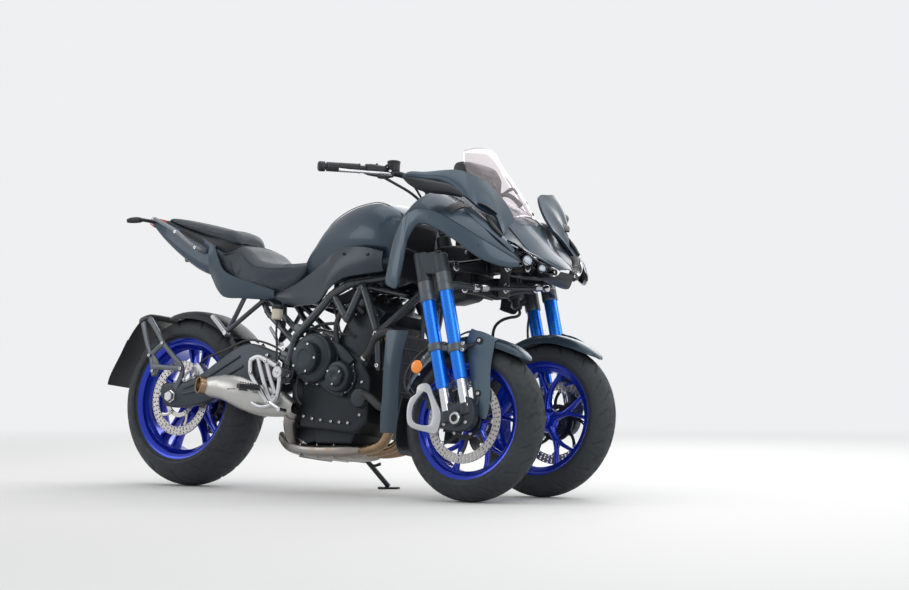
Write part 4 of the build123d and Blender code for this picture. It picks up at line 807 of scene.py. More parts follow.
each_side("caliper_guard", [casting(guard, 115, 14, 3.5, holes=[window]),
    strut([(1428, 115, 258), (1444, 107, 264), (1458, 101, 272)], (22, 20, 18), (14, 16, 16))], cast_silver,
    "fork")
hoses = [tube([(1332, 107, 506), (1300, 111, 470), (1272, 109, 420), (1278, 107, 372), (1320, 93, 344),
    (1372, 77, 352), (1392, 67, 368)], 4.2), tube([(1340, 87, 700), (1336, 81, 620), (1344, 85, 540),
    (1328, 101, 500)], 4.2), tube([(1392, 95, 330), (1350, 107, 342), (1302, 109, 372), (1290, 107, 420),
    (1312, 103, 470)], 2.6)]
# Only the left hose goes on in an arc to the head
arc = tube([(1302, 95, 470), (1286, 45, 490), (1268, 0, 522), (1261, -25, 560), (1272, -35, 600),
    (1298, -38, 622), (1328, -33, 634), (1348, -21, 640), (1354, -9, 650), (1346, -1, 668)], 5.5)
piece("brake_hoses_left", [*hoses, arc], hose_rubber, "fork_left")
piece("brake_hoses_right", hoses, hose_rubber, "fork_right")


# Front fenders
# Injection-moulded guards in graphite paint, each an arched blade over its tyre with a shield down inside the
# fork and a black flap behind.
graphite = finish("graphite_paint", "graphite_paint", (0.026, 0.046, 0.068), (0.036, 0.06, 0.086),
    (0.34, 0.44), 1600.0, 0.04, metal=0.45, coat=0.25)
band_grey = finish("band_grey", "graphite_paint", (0.04, 0.066, 0.092), (0.052, 0.08, 0.11), (0.3, 0.42),
    1500.0, 0.04, metal=0.45, coat=0.3)
# Fork shield paint: a lighter copy of the graphite paint, in the same slot; its extra lightness is painted
# light falling on the shields.
shield_grey_painted_light = finish("shield_grey_painted_light", "graphite_paint", (0.07, 0.108, 0.148), (0.085, 0.125, 0.168),
    (0.36, 0.46), 1500.0, 0.04, metal=0.35, coat=0.2)


def fender_shell():
    """Arched blade: rows round the wheel of angle, half width and height, each a low crown across the tyre
    that turns down at its edges and narrows to a pointed tip ahead."""
    rows = ((48, 7, 300, 4), (49.5, 22, 303, 8), (53, 42, 305, 17), (60, 57, 306, 27), (70, 66, 305, 34),
        (88, 68, 304, 37), (108, 68, 303, 38), (130, 67, 301, 36), (150, 64, 299, 30), (160, 60, 298, 26))
    t = np.linspace(-1, 1, 15)
    rings = []
    for angle, half, radius, drop in rows:
        r, a = radius - drop * np.abs(t) ** 3.2, math.radians(angle)
        rings.append(np.stack([WHEELBASE + r * math.cos(a), half * np.sin(t * 1.45) / math.sin(1.45),
            FRONT_AXLE_Z + r * math.sin(a)], 1))
    return sheet(flow(rings, 8))


def flow_both(rows, steps, across, closed=False):
    """Rows of points made smooth along and across."""
    return np.swapaxes(flow(np.swapaxes(flow(rows, steps), 0, 1), across, closed), 0, 1)


def ribbon(rows, steps=6, across=4):
    """Smooth sheet through rows of points."""
    return sheet(flow_both(rows, steps, across))


each_side("fender", [fender_shell()], graphite, "fork", wall=3.2, soft_edge=1.0)
shield = (((1496, 62, 596), (1530, 66, 586), (1566, 68, 572), (1600, 66, 556)),
    ((1490, 72, 560), (1522, 78, 552), (1562, 79, 540), (1603, 73, 524)),
    ((1500, 74, 500), (1526, 80, 492), (1562, 81, 486), (1600, 75, 480)),
    ((1516, 75, 440), (1538, 81, 434), (1568, 81, 430), (1602, 76, 424)),
    ((1534, 76, 380), (1552, 81, 376), (1580, 81, 374), (1609, 76, 372)),
    ((1548, 76, 330), (1566, 80, 324), (1590, 80, 320), (1610, 76, 318)),
    ((1572, 76, 290), (1582, 78, 284), (1594, 78, 280), (1604, 76, 284)))
bridge = (((1446, 64, 566), (1484, 66, 580), (1530, 66, 576), (1600, 64, 552)),
    ((1446, 56, 575), (1490, 58, 590), (1540, 58, 586), (1604, 54, 562)))
each_side("fork_shield", [ribbon(shield), ribbon(bridge, 2)], shield_grey_painted_light, "fork", wall=3.0, soft_edge=1.0)
SHIELD_SCREWS = ((1546, 551), (1563, 367))
# Black discs round the shield screws: painted shade standing in for the screws' sunken wells.
well_shades = [spun((x, 77, z), (x, 83.5, z), [(0, 13), (6.5, 13)], 28) for x, z in SHIELD_SCREWS]
each_side("fender_well_shades", well_shades, moulded_black, "fork")
stays = [tube([(1480, 100, 524), (1506, 86, 530), (1546, 74, 551)], 7),
    tube([(1560, 100, 300), (1566, 84, 340), (1563, 74, 367)], 6)]
each_side("fender_stays", stays, cast_dark, "fork")
each_side("fender_screws", screws([(x, 82, z) for x, z in SHIELD_SCREWS], head=6.5, tall=5), bright_steel,
    "fork")
flap = [[(x, y, z) for y in (-62, -30, 0, 30, 62)] for x, z in ((1236, 348), (1228, 300), (1224, 236),
    (1232, 178), (1252, 150))]
each_side("fender_flap", [ribbon(flap)], moulded_black, "fork", wall=3.0, soft_edge=1.0)


# Frame
# Welded steel tube trellis in dark gloss paint with forged swingarm pivots, and a bolted-on subframe for the
# seats.
frame_paint = finish("frame_paint", "frame_steel", (0.02, 0.028, 0.037), (0.034, 0.043, 0.053), (0.26, 0.38),
    500.0, 0.04, metal=0.3, coat=0.5)
RAILS = (((590, 166, 430), (618, 166, 545)), ((618, 166, 545), (772, 165, 700)),
    ((772, 165, 700), (850, 160, 742)), ((850, 160, 742), (1100, 62, 800)),
    ((789, 160, 690), (855, 165, 612)), ((855, 165, 612), (900, 150, 735)),
    ((905, 150, 735), (1000, 160, 560)), ((1000, 160, 560), (1106, 62, 720)),
    ((1000, 160, 560), (1012, 150, 440)))
SEAT_RAILS = (((700, 118, 676), (480, 100, 706)), ((480, 100, 706), (200, 80, 790)),
    ((200, 80, 790), (-120, 56, 945)), ((600, 118, 560), (330, 90, 750)), ((590, 122, 520), (420, 105, 640)),
    ((420, 105, 640), (330, 90, 750)), ((40, 68, 868), (40, 68, 950)), ((-60, 59, 916), (-60, 56, 850)),
    ((480, 100, 706), (480, 100, 740)))
FRAME_MOUNTS = (((1000, 160, 560), (962, 124, 568)), ((612, 160, 500), (664, 130, 500)),
    ((880, 60, 738), (880, 60, 790)), ((700, 60, 676), (700, 60, 790)))
CROSS_TUBES = (((612, -160, 582), (612, 160, 582), 14), ((880, -152, 738), (880, 152, 738), 14),
    ((700, -150, 676), (700, 150, 676), 11))


def both_sides(shells):
    return [*shells, *((corners * (1, -1, 1), quads) for corners, quads in shells)]


def welded(pairs, radius):
    """Tubes between pairs of points, each with a domed end and a ring of weld a little way along."""
    shells = []
    for a, b in pairs:
        a, b = np.array(a, float), np.array(b, float)
        long = np.linalg.norm(b - a)
        r, w = radius, radius + 1.8
        shells.append(spun(a, b, [(-r * 0.7, r * 0.7), (0, r), (r * 0.9, r), (r, w), (r + 3, w), (r + 5, r),
            (long - r - 5, r), (long - r - 3, w), (long - r, w), (long - r + 1, r), (long, r),
            (long + r * 0.7, r * 0.7)], 20))
    return shells


pivot = [casting([(520, 400), (600, 380), (622, 470), (608, 524), (572, 504), (530, 474)], 159, 14, 3,
    smooth=4), spun((556, 150, 440), (556, 172, 440), [(0, 40), (18, 40), (22, 34), (22, 24), (16, 20)], 40)]
piece("trellis_frame", both_sides(welded(RAILS, 15) + welded(FRAME_MOUNTS, 10) + pivot)
    + [rod(*row) for row in CROSS_TUBES], frame_paint)
piece("subframe", both_sides(welded(SEAT_RAILS, 11)) + [rod(*row, 10)
    for row in (((480, -100, 706), (480, 100, 706)), ((200, -80, 790), (200, 80, 790)))], frame_paint)
bolts = screws(((572, 172, 500), (560, 172, 398), (604, 172, 404), (700, 124, 676), (600, 122, 560),
    (590, 128, 520), (1000, 172, 560), (1012, 162, 446)), head=8, tall=7)
bolts.append(spun((556, 168, 440), (556, 182, 440), [(0, 20), (10, 20), (13, 17), (13, 10), (6, 8)], 6))
piece("frame_bolts", both_sides(bolts), bright_steel)


# Steering head and leaning arms
# A deep cast head carries two pivot pins; the cast arms turn on them and carry the steering tubes, and a rod
# joins the two steering arms. Seals, nuts and ball joints are bright.
arm_black = finish("arm_black", "cast_dark", (0.008, 0.011, 0.015), (0.02, 0.025, 0.031), (0.4, 0.56), 360.0,
    0.16, metal=0.3, fine_bump=0.25)
outline = [(1092, 712), (1290, 708), (1310, 742), (1298, 850), (1278, 878), (1116, 870), (1092, 800)]
pocket = [[(1120, 736), (1190, 730), (1196, 780), (1130, 800)],
    [(1218, 728), (1276, 728), (1278, 790), (1222, 790)]]
head = [casting(outline, 0, 84, 9, smooth=3), casting(outline, 44, 12, 3, smooth=3, holes=pocket),
    casting(outline, -44, 12, 3, smooth=3, holes=pocket), rod((1150, 0, 862), (1133, 0, 930), 26)]
for (px, _, pz), low in ((UPPER_PIVOT, 24), (LOWER_PIVOT, 18)):
    head += [rod((1280, 0, pz), (1436, 0, pz), 15), rod((1290, 0, pz), (1326, 0, pz), 28)]
head.append(rod((1372, 0, UPPER_PIVOT[2]), (1424, 0, UPPER_PIVOT[2]), 24))
head.append(strut([(1427, 0, 712), (1427, 0, 745), (1427, 0, 784), (1427, 0, 822), (1427, 0, 852)],
    (56, 74, 46, 70, 50), (14, 16, 14, 16, 14), side_of=AHEAD))
STAY = ((1236, 0, 868), (1312, 0, 926), (1480, 0, 926), (1610, 0, 872))
head += [tube(STAY, 10, steps=5), rod((1596, -130, 836), (1596, 130, 836), 9),
    rod((1596, 0, 832), (1598, 0, 880), 9)]
head += both_sides([rod((1112, 40, 846), (1176, 332, 852), 9)])
piece("frame_head", head, arm_black)
nuts = [spun((1434, 0, z), (1448, 0, z), [(0, 19), (2, 19), (3, 14), (12, 14), (14, 11)], 6)
    for z in (745, 822)]
nuts += both_sides(screws(((1108, 50, 722), (1284, 50, 866), (1120, 50, 858)), head=7))
piece("head_nuts", nuts, bright_steel)
for name, (px, _, pz), deep in (("upper", UPPER_PIVOT, 66), ("lower", LOWER_PIVOT, 78)):
    path = [(px, y, pz - (deep - 66) / 4 * (1 - abs(y) / 205)) for y in (-203, -150, -80, 0, 80, 150, 203)]
    arm = [strut(path, (32, 38, 50, deep, 50, 38, 32), (26, 24, 24, 32, 24, 24, 26), side_of=AHEAD,
        square=0.5), rod((px - 18, 0, pz), (px + 18, 0, pz), 34, 40)]
    rings = []
    for s in (1, -1):
        arm.append(rod((px - 17, s * 205, pz), (px + 17, s * 205, pz), 20, 32))
        arm += [strut([(px, s * 60, pz + z0), (px, s * 120, pz + z0 * 0.6), (px, s * 176, pz + z0 * 0.4)],
            (7, 6, 5), (31, 29, 28), side_of=AHEAD, sides=12) for z0 in (18, -20)]
        rings.append(spun((px + 16, s * 205, pz), (px + 20, s * 205, pz),
            [(0, 17), (3, 17), (4, 15), (4, 12)], 32))
    piece(f"{name}_arm", arm, arm_black, f"{name}_arm")
    piece(f"{name}_arm_seals", rings, bright_steel, f"{name}_arm")
shells = [spun((axis_at(704), 0, 704), (axis_at(846), 0, 846),
    [(0, 24), (6, 27), (60, 27), (61, 25), (96, 25), (97, 27), (148, 27), (151, 24)], 40)]
for (px, _, pz), reach, tip in ((UPPER_PIVOT, 1330, 1374), (LOWER_PIVOT, 1374, 1419)):
    shells += [rod((axis_at(pz), 0, pz), (reach - 4, 0, pz), 17, 32),
        rod((reach - 6, 0, pz), (tip, 0, pz), 10)]
each_side("carrier", shells, cast_dark, "carrier")
ROD_X = 1452.0
bar = [rod((ROD_X, -200, 745), (ROD_X, 200, 745), 7.5)]
ends = [part for s in (1, -1) for part in (rod((ROD_X, s * 135, 745), (ROD_X, s * 171, 745), 11, 6),
    spun((ROD_X, s * 188, 745), (ROD_X, s * 218, 745), [(0, 7), (5, 12), (10, 13), (17, 13), (24, 12),
    (28, 7)], 28))]
piece("tie_rod", bar, cast_dark, "tie_rod")
piece("tie_rod_ends", ends, bright_steel, "tie_rod")


# Engine
# Three-cylinder engine in black castings: split crankcase, leaning bank with cam cover, round covers with
# raised caps held by rows of bright screws, sump, filter, throttle bodies and coolant hoses.
engine_black = finish("engine_black", "engine_cast", (0.01, 0.014, 0.019), (0.022, 0.029, 0.037),
    (0.36, 0.54), 300.0, 0.2, metal=0.45, fine_bump=0.3)
cover_grey = finish("cover_grey", "engine_cast", (0.017, 0.024, 0.032), (0.034, 0.044, 0.055), (0.3, 0.46),
    420.0, 0.12, metal=0.5, fine_bump=0.15)
CASE = [(655, 236), (900, 216), (946, 250), (946, 400), (900, 468), (690, 556), (657, 546)]
GEARBOX = [(572, 300), (602, 242), (680, 238), (680, 546), (612, 538), (564, 470)]
BANK = [(762, 470), (900, 402), (983, 560), (964, 608), (850, 648)]


def grown(outline, by):
    points = np.array(outline, float)
    middle = points.mean(0)
    away = points - middle
    return (points + away / np.linalg.norm(away, axis=1, keepdims=True) * by).tolist()


block = [casting(CASE, 0, 272, 12, smooth=1), casting(GEARBOX, -3, 188, 12, smooth=1),
    casting(BANK, 0, 258, 8, smooth=1)]
block += [casting(grown(BANK, 3), y, 5, 1.5, smooth=1) for y in np.linspace(-112, 112, 13)]
block += [casting(grown(CASE, 2), y, 7, 2, smooth=1) for y in (-132, -30, 40, 132)]
block.append(casting([(662, 256), (876, 240), (846, 180), (694, 176)], 0, 176, 10, smooth=1))
block += [casting([(690, 190), (850, 186), (838, 170), (704, 168)], y, 5, 1.5, smooth=1)
    for y in np.linspace(-76, 76, 9)]
lug = [(700, 118, 240), (702, 132, 205), (703, 152, 184)]
block += [strut(lug, (40, 30, 24), (20, 14, 9)), spun((701, 149.9, 175.4), (702, 156.7, 181.1),
    [(0, 17), (9, 17)], 32)]
block.append(casting([(570, 262), (664, 250), (690, 184), (640, 172), (590, 196)], -6, 150, 8, smooth=1))
piece("engine_block", block, engine_black, crease=40)
cam = [casting([(858, 652), (968, 612), (988, 640), (880, 690)], 0, 252, 8, smooth=1)]
cam += [strut([(876, y, 676), (930, y, 664), (978, y, 640)], (10, 12, 10), (26, 30, 26))
    for y in (-84, 0, 84)]
clutch = [spun((712, -136, 470), (712, -194, 470), [(0, 98), (8, 98), (10, 92), (38, 91), (46, 86), (50, 78),
    (51, 62), (53, 60)], 72), spun((702, -184, 466), (702, -214, 466),
    [(0, 60), (20, 60), (26, 57), (29, 50), (29, 30), (27, 28)], 64),
    spun((836, -136, 404), (836, -182, 404), [(0, 64), (8, 64), (10, 58), (34, 57), (41, 52), (43, 40)], 60),
    spun((836, -172, 404), (836, -195, 404), [(0, 38), (14, 38), (19, 35), (21, 28), (21, 10), (20, 8)], 48),
    strut([(742, -146, 396), (800, -146, 372), (860, -144, 346)], (40, 60, 30), (30, 30, 24), square=0.5),
    strut([(770, -144, 520), (820, -144, 500), (872, -142, 452)], (40, 40, 46), (22, 26, 22), square=0.5),
    spun((930, -136, 330), (930, -160, 330), [(0, 36), (16, 36), (21, 32), (22, 20)], 40)]
generator = [spun((760, 136, 430), (760, 178, 430), [(0, 92), (10, 92), (12, 86), (32, 84), (38, 76),
    (40, 60)], 64), spun((760, 170, 430), (760, 194, 430), [(0, 60), (16, 60), (22, 55), (23, 34)], 56),
    strut([(640, 118, 440), (680, 128, 420), (700, 132, 380)], (110, 130, 80), (40, 40, 30), square=0.5)]
piece("engine_covers", cam + clutch + generator, cover_grey, crease=40)
BOLT_CIRCLES = ((712, -146, 470, 93, 11, 0.3, 5.5, 6), (702, -211, 466, 52, 5, 0, 4.5, 4),
    (836, -146, 404, 59.5, 8, 0.4, 5, 6), (836, -193, 404, 31, 3, 0.5, 4, 4),
    (760, 148, 430, 87, 10, 0, 5.5, 6))
CASE_BOLTS = ((668, 260), (710, 252), (750, 248), (800, 244), (840, 242), (880, 240), (932, 270), (940, 350),
    (930, 388), (668, 380), (680, 530), (880, 450))
bolts = [bolt for row in BOLT_CIRCLES for bolt in screw_circle(*row)]
bolts += screws([(x, -139, z) for x, z in CASE_BOLTS], (0, -1, 0), 5.5)
bolts += both_sides(screws([(x, 130, z) for x, z in ((800, 480), (900, 440), (958, 560), (942, 604),
    (864, 634))], head=5, tall=5))
bolts += both_sides(screws([(x, 128, z) for x, z in ((880, 660), (964, 630))], head=4.5, tall=5))
piece("engine_bolts", bolts, bright_steel)
hose = [tube([(1104, -150, 540), (1060, -172, 566), (1006, -172, 548), (968, -156, 500), (930, -146, 470)],
    15), tube([(1096, -140, 290), (1040, -160, 300), (990, -158, 330), (948, -146, 345)], 15),
    tube([(900, -128, 640), (860, -150, 664), (812, -150, 640), (790, -146, 590), (800, -142, 520)], 10),
    tube([(620, -108, 520), (650, -140, 560), (700, -142, 590), (770, -136, 600)], 6),
    tube([(660, -150, 300), (640, -158, 330), (632, -150, 400), (640, -130, 470), (640, -120, 560)], 5),
    tube([(860, -140, 560), (830, -158, 560), (800, -150, 600), (770, -140, 650), (740, -120, 690)], 4),
    tube([(1090, 150, 540), (1040, 166, 560), (990, 150, 540), (950, 130, 520)], 15)]
hose += [rod((880, y, 680), (826, y, 748), 25, 28) for y in (-84, 0, 84)]
piece("engine_hoses", hose, hose_rubber)
clips = [spun(a, b, [(0, 16.6), (9, 16.6)], 28) for a, b in (((1080, -165, 557), (1072, -168, 561)),
    ((944, -149, 479), (937, -147, 474)), ((1070, -149, 294), (1061, -152, 296)))]
clips += [rod((858, y, 708), (852, y, 715), 27, 28) for y in (-84, 0, 84)]
filter_can = [spun((940, -20, 300), (1006, -20, 296), [(0, 34), (6, 36), (50, 36), (60, 34), (66, 26)], 40)]
piece("hose_clips", clips, bright_steel)
piece("oil_filter", filter_can, moulded_black)


# Radiator
# Aluminium core of thin upright tubes in a black moulded shroud, hung on two stays from the head.
core_grey = finish("core_grey", "cast_dark", (0.05, 0.055, 0.06), (0.1, 0.105, 0.11), (0.4, 0.6), 900.0, 0.35,
    metal=0.7, stretch=(1, 1, 12))


def wedge(rows, deep):
    """Moulded panel: rows of outer points, whose inner face lies deeper towards the machine's middle."""
    outer = flow_both(rows, 5, 3)
    inner = outer - np.array([0, deep, 0])
    return sheet(np.concatenate([outer, inner[:, ::-1]], 1), round_columns=True)


core = [casting([(1086, 256), (1116, 256), (1116, 556), (1086, 556)], 0, 330, 3, smooth=1)]
core += [rod((1119, y, 262), (1119, y, 550), 2.6, 6) for y in np.arange(-160, 161, 8)]
piece("radiator_core", core, core_grey, replaces=["radiator"])
shroud = [[(x, y + bow, z) for x, bow in ((x0, 0), (x0 * 0.6 + x1 * 0.4, 6), (x0 * 0.3 + x1 * 0.7, 5),
    (x1, -2))] for x0, x1, y, z in ((1070, 1140, 182, 204), (1068, 1148, 188, 260), (1072, 1144, 192, 330),
    (1070, 1142, 194, 400), (1068, 1146, 194, 480), (1058, 1160, 184, 570))]
frame_bars = [casting([(1078, 248), (1124, 248), (1124, 564), (1078, 564)], y, 14, 3, smooth=1,
    holes=[[(1086, 262), (1116, 262), (1116, 550), (1086, 550)]]) for y in (168,)]
shells = both_sides([wedge(shroud, 4), *frame_bars, rod((1104, 38, 550), (1104, 38, 712), 9)])
shells += [rod((1121, y, z), (1121, y + 0.1 - 2 * y, z), 4) for y in (-160,)
    for z in (300, 352, 404, 456, 508)]
piece("radiator_shroud", shells, graphite, slot="black_plastic")


# Exhaust
# Three bronzed steel headers sweep down and back into a flat collector tinted by heat, and a short oval
# silencer with a slotted heat shield hangs from the right foot bracket.
header_bronze = finish("header_bronze", "steel", (0.3, 0.2, 0.12), (0.42, 0.3, 0.2), (0.22, 0.4), 60.0, 0.06,
    metal=1.0, wear=0.9)
collector_steel = finish("collector_steel", "steel", (0.3, 0.3, 0.31), (0.36, 0.29, 0.22), (0.24, 0.42), 30.0,
    0.08, metal=1.0, wear=0.9)
silencer_grey = finish("silencer_grey", "steel", (0.42, 0.42, 0.41), (0.52, 0.51, 0.49), (0.3, 0.44), 300.0,
    0.06, metal=0.9, stretch=(0.1, 1, 1))


def box_shell(rings, square=0.35):
    """Closed body through rounded boxes across the machine: rows of X, half width, low Z, high Z and Y of the
    middle."""
    c, s = round_box(40, square)
    grid = [np.stack([row[0] + 0 * c, (row[4] if len(row) > 4 else 0) + row[1] * c,
        (row[2] + row[3]) / 2 + (row[3] - row[2]) / 2 * s], 1) for row in rings]
    return body_of(flow(grid, 4))


headers = [tube([(972, y, 562), (1022, y, 536), (1045, y, 470), (1042, y * 0.95, 340), (1036, y * 0.92, 236),
    (1000, y * 0.84, 176), (930, y * 0.7, 154), (866, y * 0.5, 150)], 19, 24, 7) for y in (-96, -4, 88)]
headers += [spun((968, y, 566), (982, y, 556), [(0, 27), (5, 27), (8, 24)], 28) for y in (-96, -4, 88)]
piece("exhaust_headers", headers, header_bronze, replaces=["exhaust_pipes"])
pan = [box_shell([(884, 70, 134, 168), (850, 90, 122, 170), (790, 100, 116, 168), (650, 100, 116, 166),
    (570, 84, 126, 176), (510, 58, 142, 190), (468, 42, 172, 212)], 0.55),
    tube([(560, -44, 172), (576, -92, 196), (598, -134, 240), (628, -150, 280)], 24, 24),
    spun((606, -140, 254), (616, -146, 266), [(0, 28), (14, 28)], 28)]
pan += [strut([(x, -92, 141), (x, 0, 141), (x, 92, 141)], (52, 54, 52), (6, 6, 6), side_of=AHEAD, sides=12)
    for x in (620, 700, 780)]
piece("exhaust_collector", pan, collector_steel)
CAN_ROWS = ((632, 286, 22, 24, -150), (616, 290, 30, 30, -153), (590, 297, 42, 36, -160),
    (540, 304, 52, 41, -168), (473, 313, 57, 43, -178), (400, 335, 59, 46, -189), (320, 352, 47, 45, -192),
    (250, 354, 36, 41, -194), (226, 354, 20, 26, -194))


def oval(rows):
    """Rounded ovals across the machine: rows of X, Z, half height, half width and Y of the middle."""
    c, s = round_box(48, 0.85)
    return np.stack([np.stack([x + 0 * c, y + wide * c, z + tall * s], 1) for x, z, tall, wide, y in rows])


body = np.concatenate([flow(oval(CAN_ROWS), 5), oval([(222, 354, 8, 10, -194)])])
piece("silencer", [sheet(np.concatenate([body, body[-1:].mean(1, keepdims=True) + 0 * body[-1:]]),
    round_columns=True)], silencer_grey, crease=45)
tip = [spun((246, -196, 354), (224, -240, 357), [(0, 33), (36, 33), (47, 32), (50, 29), (47, 26), (12, 25),
    (10, 3)], 44)]
piece("silencer_lining", tip, header_bronze)
shield_rows = []
for x, z, tall, wide, y in CAN_ROWS[2:7]:
    shield_rows.append([(x, y - (wide + 4) * math.cos(a), z + (tall + 4) * math.sin(a))
        for a in (-0.35, 0.0, 0.4, 0.8, 1.15)])
piece("silencer_shield", [ribbon(shield_rows, 4, 4)], silencer_grey, wall=2.0, soft_edge=0.8)
slots = [tube([(x, -(190 - (x - 400) * 0.1) - 47 * math.cos(a), 330 + 60 * math.sin(a)) for a,
    x in ((a0, x0), (a0 + 0.02, x0 + 34))], 3.2, 8) for x0 in (372, 424, 476) for a0 in (0.22, 0.45)]
piece("shield_slots", slots, cover_grey, slot="black_plastic")


# Swingarm and chain
# Cast aluminium arms joined by a deep bridge, the right one humped over the silencer; axle blocks, rear
# caliper on its bracket, the damper with its spring, and an O-ring chain on a drilled sprocket.
swing_grey = finish("swing_grey", "cast_dark", (0.03, 0.039, 0.05), (0.048, 0.059, 0.072), (0.34, 0.48),
    420.0, 0.14, metal=0.5, fine_bump=0.2)
right_line = [(-50, 332), (-42, 362), (0, 367), (48, 368), (136, 398), (230, 455), (324, 508), (383, 517),
    (464, 496), (560, 470), (588, 440), (560, 405), (440, 398), (300, 372), (200, 318), (60, 290), (-40, 298)]
left_line = [(-50, 332), (-40, 360), (40, 366), (120, 374), (330, 440), (560, 472), (588, 440), (560, 405),
    (420, 392), (260, 350), (60, 290), (-40, 298)]
arms = [casting(right_line, -123, 37, 7, smooth=4), casting(left_line, 134, 28, 6, smooth=4),
    strut([(470, -116, 446), (478, -60, 448), (480, 0, 448), (478, 60, 448), (470, 116, 440)],
    (88, 76, 70, 76, 80), (76, 70, 66, 70, 64), side_of=UP, square=0.5)]
arms += [strut([(60, -143, 332), (150, -143, 352), (260, -143, 400), (350, -143, 440)], (10, 12, 14, 10),
    (6, 7, 7, 6), sides=12), strut([(60, -143, 352), (150, -143, 382), (230, -143, 424), (330, -143, 476)],
    (8, 10, 10, 8), (6, 7, 7, 6), sides=12)]
arms += [rod((0, -106, REAR_AXLE_Z), (0, -64, REAR_AXLE_Z), 22),
    rod((0, 112, REAR_AXLE_Z), (0, 122, REAR_AXLE_Z), 22)]
arms += [spun((556, s * 108, 440), (556, s * 149, 440), [(0, 34), (38, 34), (41, 31)], 36) for s in (1, -1)]
piece("swingarm", arms, swing_grey)
axle = [rod((0, -156, REAR_AXLE_Z), (0, 156, REAR_AXLE_Z), 14)]
axle += [spun((0, s * 141, REAR_AXLE_Z), (0, s * 160, REAR_AXLE_Z),
    [(0, 24), (4, 24), (5, 20), (17, 20), (19, 17), (19, 12)], 6 if s < 0 else 32) for s in (1, -1)]
axle += [rod((-52, s * 128, 330), (-66, s * 128, 331), 5, 16)
    for s in (1, -1)] + [spun((-58, s * 128, 330), (-63, s * 128, 331), [(0, 9), (5, 9)], 6) for s in (1, -1)]
axle += screws(((64, -146, 384), (112, -146, 402), (470, -146, 480)), (0, -1, 0))
piece("axle_fixings", axle, bright_steel)
path = [out_at(REAR_HUB, 132, a, REAR_DISC_Y) for a in (34, 42, 50, 58)]
calliper = [strut([np.add(p, (0, turn * 15, 0)) for p in path], (34, 52, 52, 34), (15,) * 4, steps=5,
    square=0.45) for turn in (-1, 1)]
calliper += [strut([out_at(REAR_HUB, 154, a, REAR_DISC_Y) for a in (35, 46, 57)], (12, 14, 12), (42, 44, 42),
    square=0.4)]
calliper += [spun(out_at(REAR_HUB, 130, 46, REAR_DISC_Y - 20), out_at(REAR_HUB, 130, 46, REAR_DISC_Y - 29),
    [(0, 15), (6, 14), (9, 10), (7, 6)], 28)]
calliper.append(strut([(90, -112, 400), (60, -114, 380), (20, -112, 350)], (30, 26, 34), (10, 10, 10)))
piece("rear_caliper", calliper, cast_silver)
low, high = np.array((462.0, 0, 490)), np.array((604.0, 0, 584))
coil_t = np.linspace(0, 1, 150)
u = (high - low) / np.linalg.norm(high - low)
v, w = np.cross(u, (0, 1, 0)), np.array((0, 1.0, 0))
turns = coil_t * 6.5 * 2 * math.pi
coil = low + u * (22 + 122 * coil_t)[:, None] + 30 * (np.cos(turns)[:, None] * v + np.sin(turns)[:, None] * w)
piece("rear_shock", [rod(low, high, 20), spun(low + u * 12, low + u * 20, [(0, 36), (8, 36)], 36),
    spun(low + u * 146, low + u * 158, [(0, 36), (12, 36)], 36)], dark_steel)
piece("shock_spring", [tube(coil, 5, 8, straight=True)], frame_paint, slot="spring")
piece("swingarm_hose", [tube([(96, -100, 452), (150, -126, 470), (260, -140, 500), (360, -138, 536),
    (470, -132, 520), (560, -140, 480)], 4)], hose_rubber)
teeth = np.arange(45 * 4) * 2 * math.pi / (45 * 4)
tooth = 98.5 + np.tile([0, 3.6, 3.6, 0], 45)
outer = np.stack([tooth * np.cos(teeth), tooth * np.sin(teeth)], 1)
holes = [[(30 * math.cos(a + t) * 0.36 + 78 * math.cos(a), 30 * math.sin(a + t) * 0.36 + 78 * math.sin(a))
    for t in np.arange(10) * math.pi / 5] for a in np.arange(10) * math.pi / 5]
bore = [(50 * math.cos(a), 50 * math.sin(a)) for a in np.arange(40) * math.pi / 20]
wheel = casting(outer, (0, SPROCKET_Y, REAR_AXLE_Z), 7, 1, smooth=1, holes=[*holes, bore])
carrier = turned_ring([(64, 30), (64, 56), (100, 62), (103, 62), (103, 30)], REAR_HUB, 56)
piece("rear_sprocket", [wheel, carrier], dark_steel, "rear_wheel", replaces=["rear_disc"])
piece("sprocket_nuts", ring_bolts(REAR_HUB, 56, 5, SPROCKET_Y + 3, 8, 8), bright_steel, "rear_wheel")
FRONT_TEETH, CHAIN_PITCH, CHAIN_OVER = (612.0, 430.0, 34.0), 15.875, 8.0


def chain_line():
    """Closed path of the chain: round the rear sprocket, along, round the front one and back, at even
    pitch."""
    (fx, fz, fr), (rx, rz, rr) = FRONT_TEETH, (0.0, REAR_AXLE_Z, 100.0)
    fr, rr = fr + CHAIN_OVER, rr + CHAIN_OVER
    slope, gap = math.atan2(fz - rz, fx - rx), math.hypot(fx - rx, fz - rz)
    lap = math.acos((rr - fr) / gap)
    back = np.linspace(slope + lap, slope - lap + 2 * math.pi, 90)
    front = np.linspace(slope - lap, slope + lap, 50)
    line = np.concatenate([np.stack([rx + rr * np.cos(back), rz + rr * np.sin(back)], 1),
        np.stack([fx + fr * np.cos(front), fz + fr * np.sin(front)], 1)])
    line = np.concatenate([line, line[:1]])
    run = np.concatenate([[0], np.cumsum(np.linalg.norm(np.diff(line, axis=0), axis=1))])
    count = int(run[-1] / CHAIN_PITCH / 2) * 2
    at = np.arange(count) / count * run[-1]
    return np.stack([np.interp(at, run, line[:, 0]), np.interp(at, run, line[:, 1])], 1)


